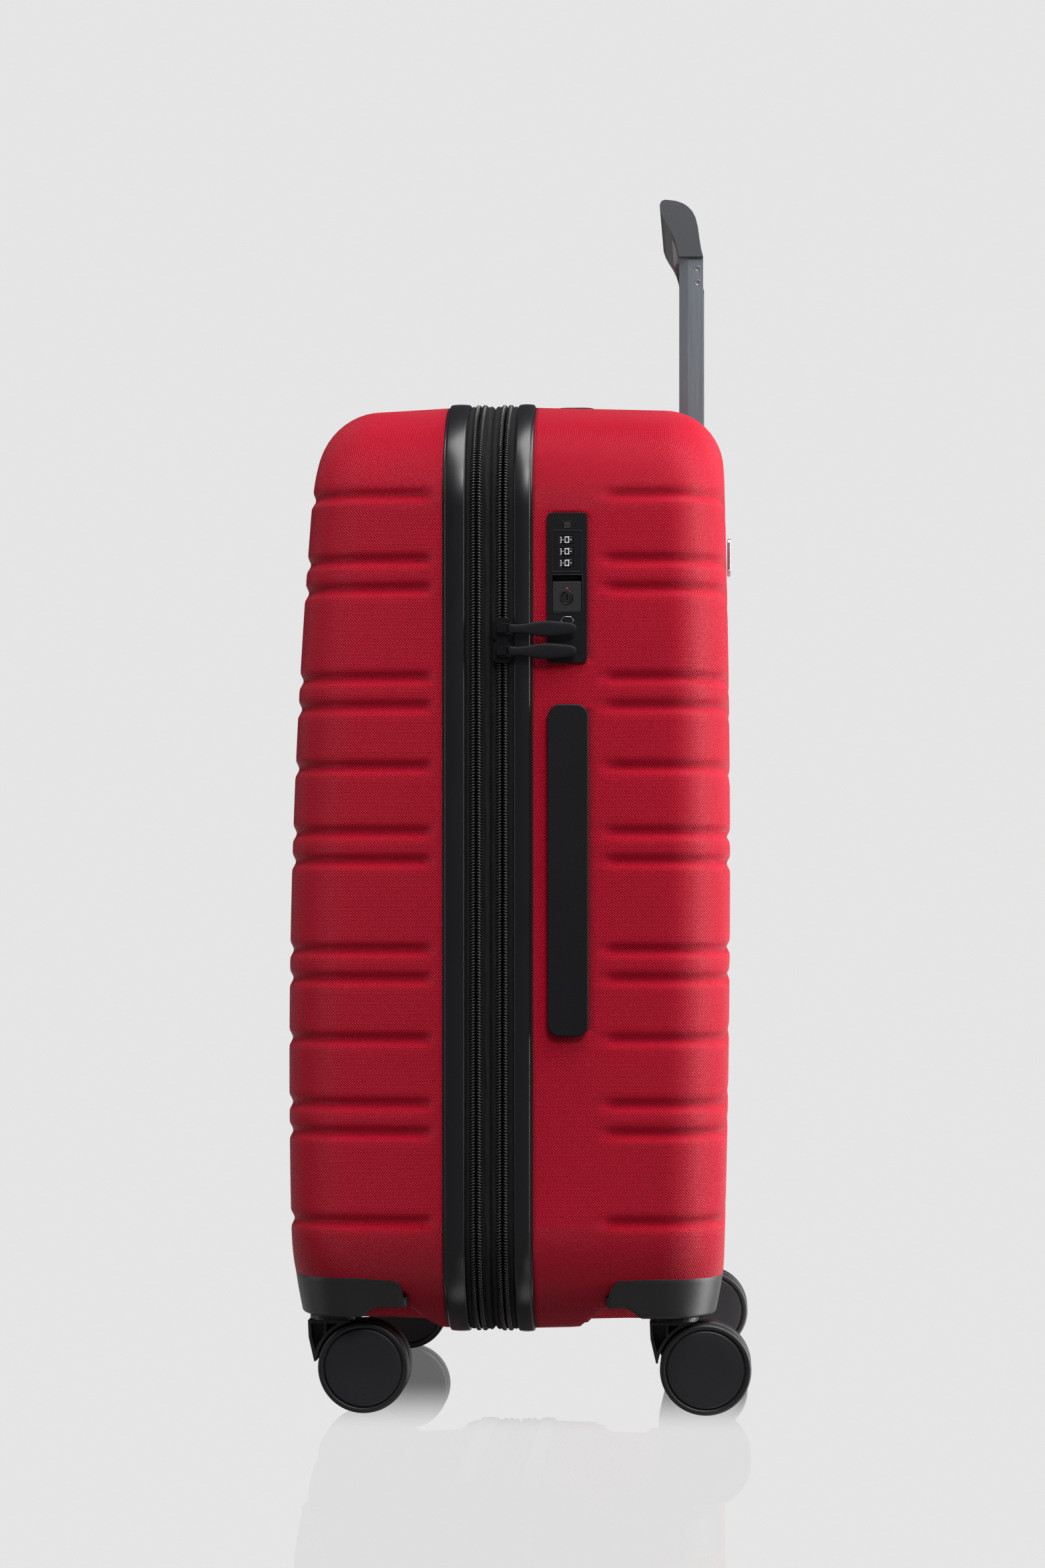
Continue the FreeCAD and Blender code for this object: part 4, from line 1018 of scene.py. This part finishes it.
def make_figures():
    half_w, half_h, pen = FIGURE
    for index, height in enumerate(DIAL_HEIGHTS, start=1):
        bars = []
        for figure, names in FIGURES.items():
            turn = math.radians(36 * figure)
            for name in names.split():
                x0, z0, x1, z1 = SEGMENTS[name]
                across = (x0 * half_w - pen, x1 * half_w + pen)
                upright = (z0 * half_h - pen, z1 * half_h + pen)
                bars.append(print_bar(across, upright, turn, height))
            bars.append(print_bar(DASH_ACROSS, DASH_UP, turn, height))
        points, quads = joined(bars)
        node = "lock_dial_%d" % index
        piece = make_object(node + "_figures", points, quads, BODY_OF[node], white_paint, smooth=False)
        finish(node, replace=False)


make_figures()


def rounded_rectangle(y_low, y_high, z_low, z_high, radius, steps=6):
    points = []
    for cy, cz, first in ((y_high - radius, z_high - radius, 0), (y_low + radius, z_high - radius, 1),
                          (y_low + radius, z_low + radius, 2), (y_high - radius, z_low + radius, 3)):
        for step in range(steps + 1):
            angle = math.pi / 2 * (first + step / steps)
            points.append((cy + radius * math.cos(angle), cz + radius * math.sin(angle)))
    return np.array(points)


def bead(outline, x, radius, sides=8):
    """A thin round moulding laid along a closed outline in a YZ plane."""
    tangent = np.roll(outline, -1, axis=0) - np.roll(outline, 1, axis=0)
    tangent /= np.linalg.norm(tangent, axis=1)[:, None] + 1e-9
    normal = np.stack([tangent[:, 1], -tangent[:, 0]], axis=-1)
    angle = np.arange(sides) * (2 * math.pi / sides)
    flat = outline[:, None] + normal[:, None] * (radius * np.cos(angle))[None, :, None]
    high = x + radius * np.sin(angle)[None, :] + 0 * flat[..., 0]
    points = np.stack([high, flat[..., 0], flat[..., 1]], axis=-1)
    return points.reshape(-1, 3), grid_quads(len(outline), sides, wrap_rows=True, wrap_cols=True)


def make_lock_face():
    y = LOCK_MIDDLE
    rims = joined([
        bead(rounded_rectangle(y - 9.7 * MM, y + 9.5 * MM, 550.0 * MM, 576.7 * MM, 0.8 * MM),
             LOCK_FRONT + 0.05 * MM, 0.28 * MM),
        bead(rounded_rectangle(y - 9.9 * MM, y + 9.9 * MM, 523.4 * MM, 548.1 * MM, 0.8 * MM),
             LOCK_FRONT + 0.05 * MM, 0.28 * MM),
        bead(rounded_rectangle(y - 2.9 * MM, y + 2.9 * MM, 577.2 * MM, 582.8 * MM, 0.6 * MM),
             LOCK_FRONT + 0.02 * MM, 0.2 * MM),
    ])
    piece = make_object("lock_rims", *rims, "rear_half", lock_black)
    finish("lock_housing", replace=False)
    mark_y = y + 0.2 * MM
    mark_z = 518.5 * MM
    turns = np.arange(6) * (math.pi / 3)
    mark = np.stack([mark_y + 4.2 * MM * np.cos(turns), mark_z + 2.9 * MM * np.sin(turns)], axis=-1)
    sign = make_object("lock_badge", *bead(mark, LOCK_FRONT + 0.02 * MM, 0.22 * MM), "rear_half", plate_alloy)
    finish("lock_housing", replace=False)
    button_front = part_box("lock_release_button")[1].x
    dot = lathe([(0.0, 0.0), (0.0, 0.75), (0.12, 0.65), (0.16, 0.0)],
                (button_front - 0.02 * MM, y, 539.2 * MM), 1, 16)
    light = make_object("lock_search_dot", *dot, BODY_OF["lock_release_button"], red_paint)
    close_poles(light)
    finish("lock_release_button", replace=False)
    ring = lathe([(0.0, 3.7), (0.25, 3.75), (0.45, 4.1), (0.3, 4.5), (0.0, 4.6)],
                 (button_front - 0.05 * MM, y, 533.2 * MM), 1, 40)
    collar = make_object("lock_key_ring", *ring, BODY_OF["lock_release_button"], lock_black)
    finish("lock_release_button", replace=False)


make_lock_face()


# ---- zip pulls ----------------------------------------------------------------------
PULL_STATIONS = np.array([0.0, 0.06, 0.14, 0.26, 0.40, 0.52, 0.64, 0.78, 0.90, 0.955, 0.985, 1.0])
PULL_HALF = np.array([3.4, 3.0, 2.7, 3.3, 4.5, 5.15, 5.1, 4.4, 3.8, 3.3, 2.5, 1.2]) * MM


PIN = [(0, -3.3 * MM), (0.8 * MM, -3.3 * MM), (0.8 * MM, 3.3 * MM), (0, 3.3 * MM)]


def leaf(frame_of, length, thick):
    """A flat rubber pull: rounded oblong sections whose half width follows a leaf's outline."""
    along = np.linspace(0, 1, 40)
    half = np.interp(along, PULL_STATIONS, PULL_HALF)
    smooth = np.convolve(np.concatenate([half[:1], half, half[-1:]]), [0.25, 0.5, 0.25], "valid")
    angle = np.arange(20) * (2 * math.pi / 20)
    cos, sin = np.cos(angle), np.sin(angle)
    wide = np.sign(cos) * np.abs(cos) ** 0.55
    high = np.sign(sin) * np.abs(sin) ** 0.55
    ends = np.where((along < 1e-9) | (along > 1 - 1e-9), 0.72, 1.0)
    points = frame_of(
        (along * length)[:, None] + 0 * wide[None], smooth[:, None] * wide[None],
        (thick / 2 * ends)[:, None] * high[None],
    )
    rows = points.reshape(40, 20, 3)
    caps = np.concatenate([rows[:1].mean(axis=1, keepdims=True).repeat(20, axis=1), rows,
                           rows[-1:].mean(axis=1, keepdims=True).repeat(20, axis=1)])
    return caps.reshape(-1, 3), grid_quads(42, 20, wrap_cols=True)


def make_pulls():
    for node, on_top in (("main_pull_upper", False), ("main_pull_lower", False), ("expansion_pull", True)):
        low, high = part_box(node)
        if on_top:
            middle = ((low.x + high.x) / 2, (low.z + high.z) / 2)
            pin, start, stop = high.y - 1.2 * MM, high.y - 5.2 * MM, low.y

            def place(along, across, thick, middle=middle, start=start):
                return np.stack([middle[0] + across, start - along, middle[1] + thick], axis=-1)

            def local(x, y, z, middle=middle, pin=pin):
                return np.array([middle[0] + z, pin - y, middle[1] + x])
            length = start - stop
        else:
            middle = ((low.z + high.z) / 2, (low.x + high.x) / 2)
            pin, start, stop = low.y + 1.2 * MM, low.y + 5.2 * MM, high.y

            def place(along, across, thick, middle=middle, start=start):
                return np.stack([middle[1] + thick, start + along, middle[0] + across], axis=-1)

            def local(x, y, z, middle=middle, pin=pin):
                return np.array([middle[1] + x, pin + y, middle[0] + z])
            length = stop - start
        parts = [leaf(place, length, 2.1 * MM)]
        for sign in (-1, 1):
            rows = []
            for y in np.linspace(-1.1, 5.6, 5) * MM:
                z = sign * 3.15 * MM
                rows.append([local(0.95 * MM * u, y, z + 0.42 * MM * v)
                             for u, v in ((-1, -0.6), (-0.7, -1), (0.7, -1), (1, -0.6), (1, 0.6), (0.7, 1),
                                          (-0.7, 1), (-1, 0.6))])
            rows = np.array(rows)
            rows = np.concatenate([rows[:1].mean(axis=1, keepdims=True).repeat(8, axis=1), rows,
                                   rows[-1:].mean(axis=1, keepdims=True).repeat(8, axis=1)])
            parts.append((rows.reshape(-1, 3), grid_quads(7, 8, wrap_cols=True)))
        turn = np.arange(12) * (2 * math.pi / 12)
        rows = np.array([[local(r * math.cos(t), r * math.sin(t), z) for t in turn] for r, z in PIN])
        parts.append((rows.reshape(-1, 3), grid_quads(4, 12, wrap_cols=True)))
        points, quads = joined(parts)
        piece = make_object(node + "_leaf", points, quads, BODY_OF[node], rubber_black)
        close_poles(piece, turn_faces=True)
        piece.data.set_sharp_from_angle(angle=math.radians(50))
        finish(node)


make_pulls()


# ---- linings, gusset, pocket and straps ---------------------------------------------
LINING_INSET = 10.6 * MM
CLOTH = 1.1 * MM
SOFT_EDGE = 9 * MM
RIPPLE = 0.5 * MM
FREE_X = 400 * MM
FREE_Z = 900 * MM
WELL_COVER = 93.5 * MM
HANDLE_STRIP = (15 * MM, 50 * MM)
LOCK_BACK = (487 * MM, 593 * MM, 186.5 * MM)
SIDE_HANDLE_BACK = (244 * MM, 470 * MM, 174.5 * MM)
TOP_HANDLE_BACK = (113 * MM, 620.5 * MM)


def box_field(a, b, a_low, a_high, b_low, b_high):
    """1 inside a rectangle, easing to 0 within a soft edge outside it."""
    return (smooth_step(a_low - SOFT_EDGE, a_low, a) * smooth_step(-a_high - SOFT_EDGE, -a_high, -a)
            * smooth_step(b_low - SOFT_EDGE, b_low, b) * smooth_step(-b_high - SOFT_EDGE, -b_high, -b))


def cloth_ripple(points, depth):
    x, y, z = points.T
    waves = np.sin(x * 41 + z * 23) + np.sin(z * 57 - y * 31 + 1.1) + np.sin(x * 83 + y * 61) * 0.5
    wave = waves * depth / 2.5
    ripple = points.copy()
    ripple[:, 0] -= np.sign(x) * np.abs(wave) * (np.abs(x) > 0.15)
    ripple[:, 2] += np.where(z > MID_Z, -1, 1) * np.abs(wave) * (np.abs(z - MID_Z) > 0.25)
    return ripple


def over_wells(well_low, well_high):
    def lift(points):
        x, y, z = points.T
        field = box_field(np.abs(x), y, 127 * MM, 1.0, well_low, well_high)
        points[:, 2] = np.maximum(z, z + (WELL_COVER - z) * np.where(z < WELL_COVER, field, 0))
        return points
    return lift


def press(values, field, free, target):
    """Hold values down to a target where a field is 1, and to a limit beyond the case where it is 0."""
    return np.minimum(values, free - field * (free - target))


def rear_lining_shape(points):
    points = over_wells(56 * MM, 150 * MM)(points)
    x, y, z = points.T
    for z_low, z_high, depth in (LOCK_BACK, SIDE_HANDLE_BACK):
        points[:, 0] = press(points[:, 0], box_field(y, z, *HANDLE_STRIP, z_low, z_high), FREE_X, depth)
    top = box_field(np.abs(x), y, -1.0, TOP_HANDLE_BACK[0], *HANDLE_STRIP)
    points[:, 2] = press(points[:, 2], top, FREE_Z, TOP_HANDLE_BACK[1])
    return cloth_ripple(points, RIPPLE)


def front_lining_shape(points):
    return cloth_ripple(over_wells(-160 * MM, -71 * MM)(points), RIPPLE)


def cloth_wall(name, node, rim, face, bow, edge, shape):
    points, quads, sheet = half_case(rim, face, bow, grow=-LINING_INSET, edge=edge, rows=150, cols=60,
                                     dent=shape)
    piece = make_object(name, points, quads, BODY_OF[node], lining_cloth, uv=sheet)
    wall = piece.modifiers.new("cloth", "SOLIDIFY")
    wall.thickness = CLOTH
    wall.offset = -1
    finish(node)


cloth_wall("front_lining_cloth", "front_lining", -36 * MM, FRONT_FACE, FRONT_BOW, EDGE,
           front_lining_shape)
cloth_wall("rear_lining_cloth", "rear_lining", -2 * MM, 98.6 * MM + LINING_INSET, (60.0, REAR_BOW[1]),
           30 * MM + LINING_INSET, rear_lining_shape)


def make_gusset():
    """Cloth folded into pleats behind the expansion zip."""
    low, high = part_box("expansion_gusset")
    rear_y, front_y = high.y, low.y
    pleats = 7
    share = np.linspace(0, 1, pleats * 8 + 1)
    y = rear_y + (front_y - rear_y) * share
    out = -6.9 * MM + 1.5 * MM * np.cos(share * math.pi * 2 * pleats)
    outer = np.stack([out + 0.1 * MM, y + 0.1 * MM], axis=-1)
    inner = np.stack([out - 0.1 * MM, y - 0.1 * MM], axis=-1)[::-1]
    piece = ring("expansion_gusset_cloth", np.concatenate([outer, inner]), None, lining_cloth, 240)
    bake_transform(piece)
    finish("expansion_gusset")


make_gusset()


def ribbon(name, x_span, z_span, y, thick, wave, body):
    """A flat woven strip: two close skins with a slow wave along it and turned edges."""
    (x_low, x_high), (z_low, z_high) = x_span, z_span
    along = np.linspace(0, 1, 60)
    across = np.array([0, 0.03, 0.1, 0.5, 0.9, 0.97, 1.0])
    depth = y + wave * np.sin(along * 9.0) * np.sin(along * math.pi)
    x = x_low + (x_high - x_low) * along
    z = z_low + (z_high - z_low) * across
    edge = np.array([0.4, 0.8, 1, 1, 1, 0.8, 0.4]) * thick / 2
    front = np.stack([x[:, None] + 0 * z, depth[:, None] - edge, z[None] + 0 * x[:, None]], axis=-1)
    back = np.stack([x[:, None] + 0 * z, depth[:, None] + edge, z[None] + 0 * x[:, None]], axis=-1)[:, ::-1]
    both = np.concatenate([front, back], axis=1)
    caps = np.concatenate([both[:1].mean(axis=1, keepdims=True).repeat(14, axis=1), both,
                           both[-1:].mean(axis=1, keepdims=True).repeat(14, axis=1)])
    sheet = np.stack([caps[..., 0], caps[..., 2]], axis=-1).reshape(-1, 2)
    piece = make_object(name, caps, grid_quads(62, 14, wrap_cols=True), body, strap_cloth, uv=sheet)
    close_poles(piece)
    return piece


def make_straps():
    low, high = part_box("packing_straps")
    y = (low.y + high.y) / 2
    buckle_low, buckle_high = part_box("packing_buckle")
    gap = 0.1 * MM
    for label, x_span in (("left", (low.x, buckle_low.x - gap)), ("right", (buckle_high.x + gap, high.x))):
        piece = ribbon("packing_strap_" + label, x_span, (low.z, high.z), y - 0.2 * MM, 1.0 * MM, -0.15 * MM,
                       "rear_half")
        if label == "left":
            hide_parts("packing_straps")


make_straps()


HEM = 11 * MM


def make_pocket():
    """A mesh pocket on the lid's lining: a slack sheet with an elastic hem along its top."""
    low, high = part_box("front_pocket")
    rows, cols = 50, 60
    x = np.linspace(low.x, high.x, cols)
    z = np.linspace(low.z, high.z - 3 * MM, rows)
    gx, gz = np.meshgrid(x, z)
    wall = FRONT_FACE + LINING_INSET + CLOTH + face_lean(gx, gz, FRONT_BOW)
    share = (gz - low.z) / (high.z - low.z)
    slack = 1.1 * MM * np.sin(share * math.pi) * (1 - (gx / high.x) ** 2) + 0.7 * MM
    gather = 0.25 * MM * np.sin(gx * 420) * share ** 3
    y = wall + slack + gather + 0.6 * MM
    points = np.stack([gx, y, gz], axis=-1)
    sheet = np.stack([gx, gz], axis=-1).reshape(-1, 2)
    quads = grid_quads(rows, cols, flip=True)
    net = make_object("front_pocket_net", points, quads, "front_half", pocket_cloth, uv=sheet)
    skin = net.modifiers.new("mesh", "SOLIDIFY")
    skin.thickness = 0.5 * MM
    finish("front_pocket")
    hem = ribbon("front_pocket_hem", (low.x, high.x), (high.z - HEM, high.z), float(y[-1].mean()), 1.4 * MM,
                 0.0, "front_half")


make_pocket()


# ---- camera, floor and light --------------------------------------------------------
CAMERA_PLACE = (2.600, 0.1314, 0.342)
CAMERA_TURN = math.radians(3.07)
FOCAL = 84.5
FRAME_HEIGHT = 2352
HORIZON_DROP = 164 / FRAME_HEIGHT
BACKDROP = 0.785
FLOOR_LIGHT = 0.16
ROOM_LIGHT = (0.07, 0.07, 0.075, 1)
LIGHTS = (
    ("right_softbox", (-0.2, 2.2, 0.9), (0, 0.1, 0.4), (1.6, 2.2), 120),
    ("top_softbox", (0.7, 0.5, 2.6), (0, 0, 0.3), (1.8, 1.4), 62),
    ("high_fill", (3.0, 1.2, 3.0), (0, 0, 0.35), (1.6, 1.2), 95),
    ("left_strip", (0.4, -2.4, 1.0), (0, -0.1, 0.4), (0.6, 2.0), 15),
)


def make_camera():
    data = bpy.data.cameras.new("camera")
    data.lens = FOCAL
    data.sensor_width = 36
    data.shift_y = HORIZON_DROP
    camera = bpy.data.objects.new("camera", data)
    scene.collection.objects.link(camera)
    camera.location = CAMERA_PLACE
    camera.rotation_euler = (math.pi / 2, 0, math.pi / 2 + CAMERA_TURN)
    scene.camera = camera


def make_floor():
    """A pale glowing floor with a mirror sheen that is strong far from the viewer and weak near them."""
    r = Recipe("pale_floor", (0.8, 0.8, 0.8), 0.12)
    seen = r.node("ShaderNodeLightPath")
    strength = seen * (BACKDROP - FLOOR_LIGHT) + FLOOR_LIGHT
    glow = r.node("ShaderNodeEmission", {}, {"Color": (1, 1, 1, 1), "Strength": strength})
    gloss = r.node("ShaderNodeBsdfGlossy", {}, {"Color": (1, 1, 1, 1), "Roughness": 0.0})
    toward_viewer, _, _ = r.split(r.place())
    sheen = r.node("ShaderNodeMapRange", {"interpolation_type": "SMOOTHSTEP"},
                   {"Value": toward_viewer, 1: 0.02, 2: 0.27, 3: 0.84, 4: 0.07})
    mixed = r.node("ShaderNodeMixShader", {}, {0: sheen, 1: glow, 2: gloss})
    r.tree.links.new(mixed.link, r.tree.nodes["Material Output"].inputs["Surface"])
    size = 30.0
    points = [(-size, -size, 0), (size, -size, 0), (size, size, 0), (-size, size, 0)]
    floor = make_object("floor", points, [[0, 1, 2, 3]], None, r.material)


def add_light(name, place, aim, size, power):
    data = bpy.data.lights.new(name, "AREA")
    data.shape = "RECTANGLE"
    data.size, data.size_y = size
    data.energy = power
    light = bpy.data.objects.new(name, data)
    scene.collection.objects.link(light)
    light.location = place
    direction = Vector(aim) - Vector(place)
    light.rotation_euler = direction.to_track_quat("-Z", "Y").to_euler()


def make_lights():
    world = bpy.data.worlds.new("studio")
    scene.world = world
    world.use_nodes = True
    tree = world.node_tree
    background = tree.nodes["Background"]
    seen = tree.nodes.new("ShaderNodeLightPath")
    mix = tree.nodes.new("ShaderNodeMix")
    mix.data_type = "RGBA"
    mix.inputs[6].default_value = ROOM_LIGHT
    mix.inputs[7].default_value = (BACKDROP, BACKDROP, BACKDROP, 1)
    either = tree.nodes.new("ShaderNodeMath")
    either.operation = "MAXIMUM"
    tree.links.new(seen.outputs["Is Camera Ray"], either.inputs[0])
    tree.links.new(seen.outputs["Is Singular Ray"], either.inputs[1])
    tree.links.new(either.outputs[0], mix.inputs[0])
    tree.links.new(mix.outputs[2], background.inputs["Color"])
    for light in LIGHTS:
        add_light(*light)


make_camera()
make_floor()
make_lights()
scene.view_settings.view_transform = "Standard"


# ---- any node that is carried over as it is gets its finish -------------------------
for node, carried in frame["nodes"].items():
    carried.data.materials.clear()
    carried.data.materials.append(FINISH[SLOT_OF[node]])
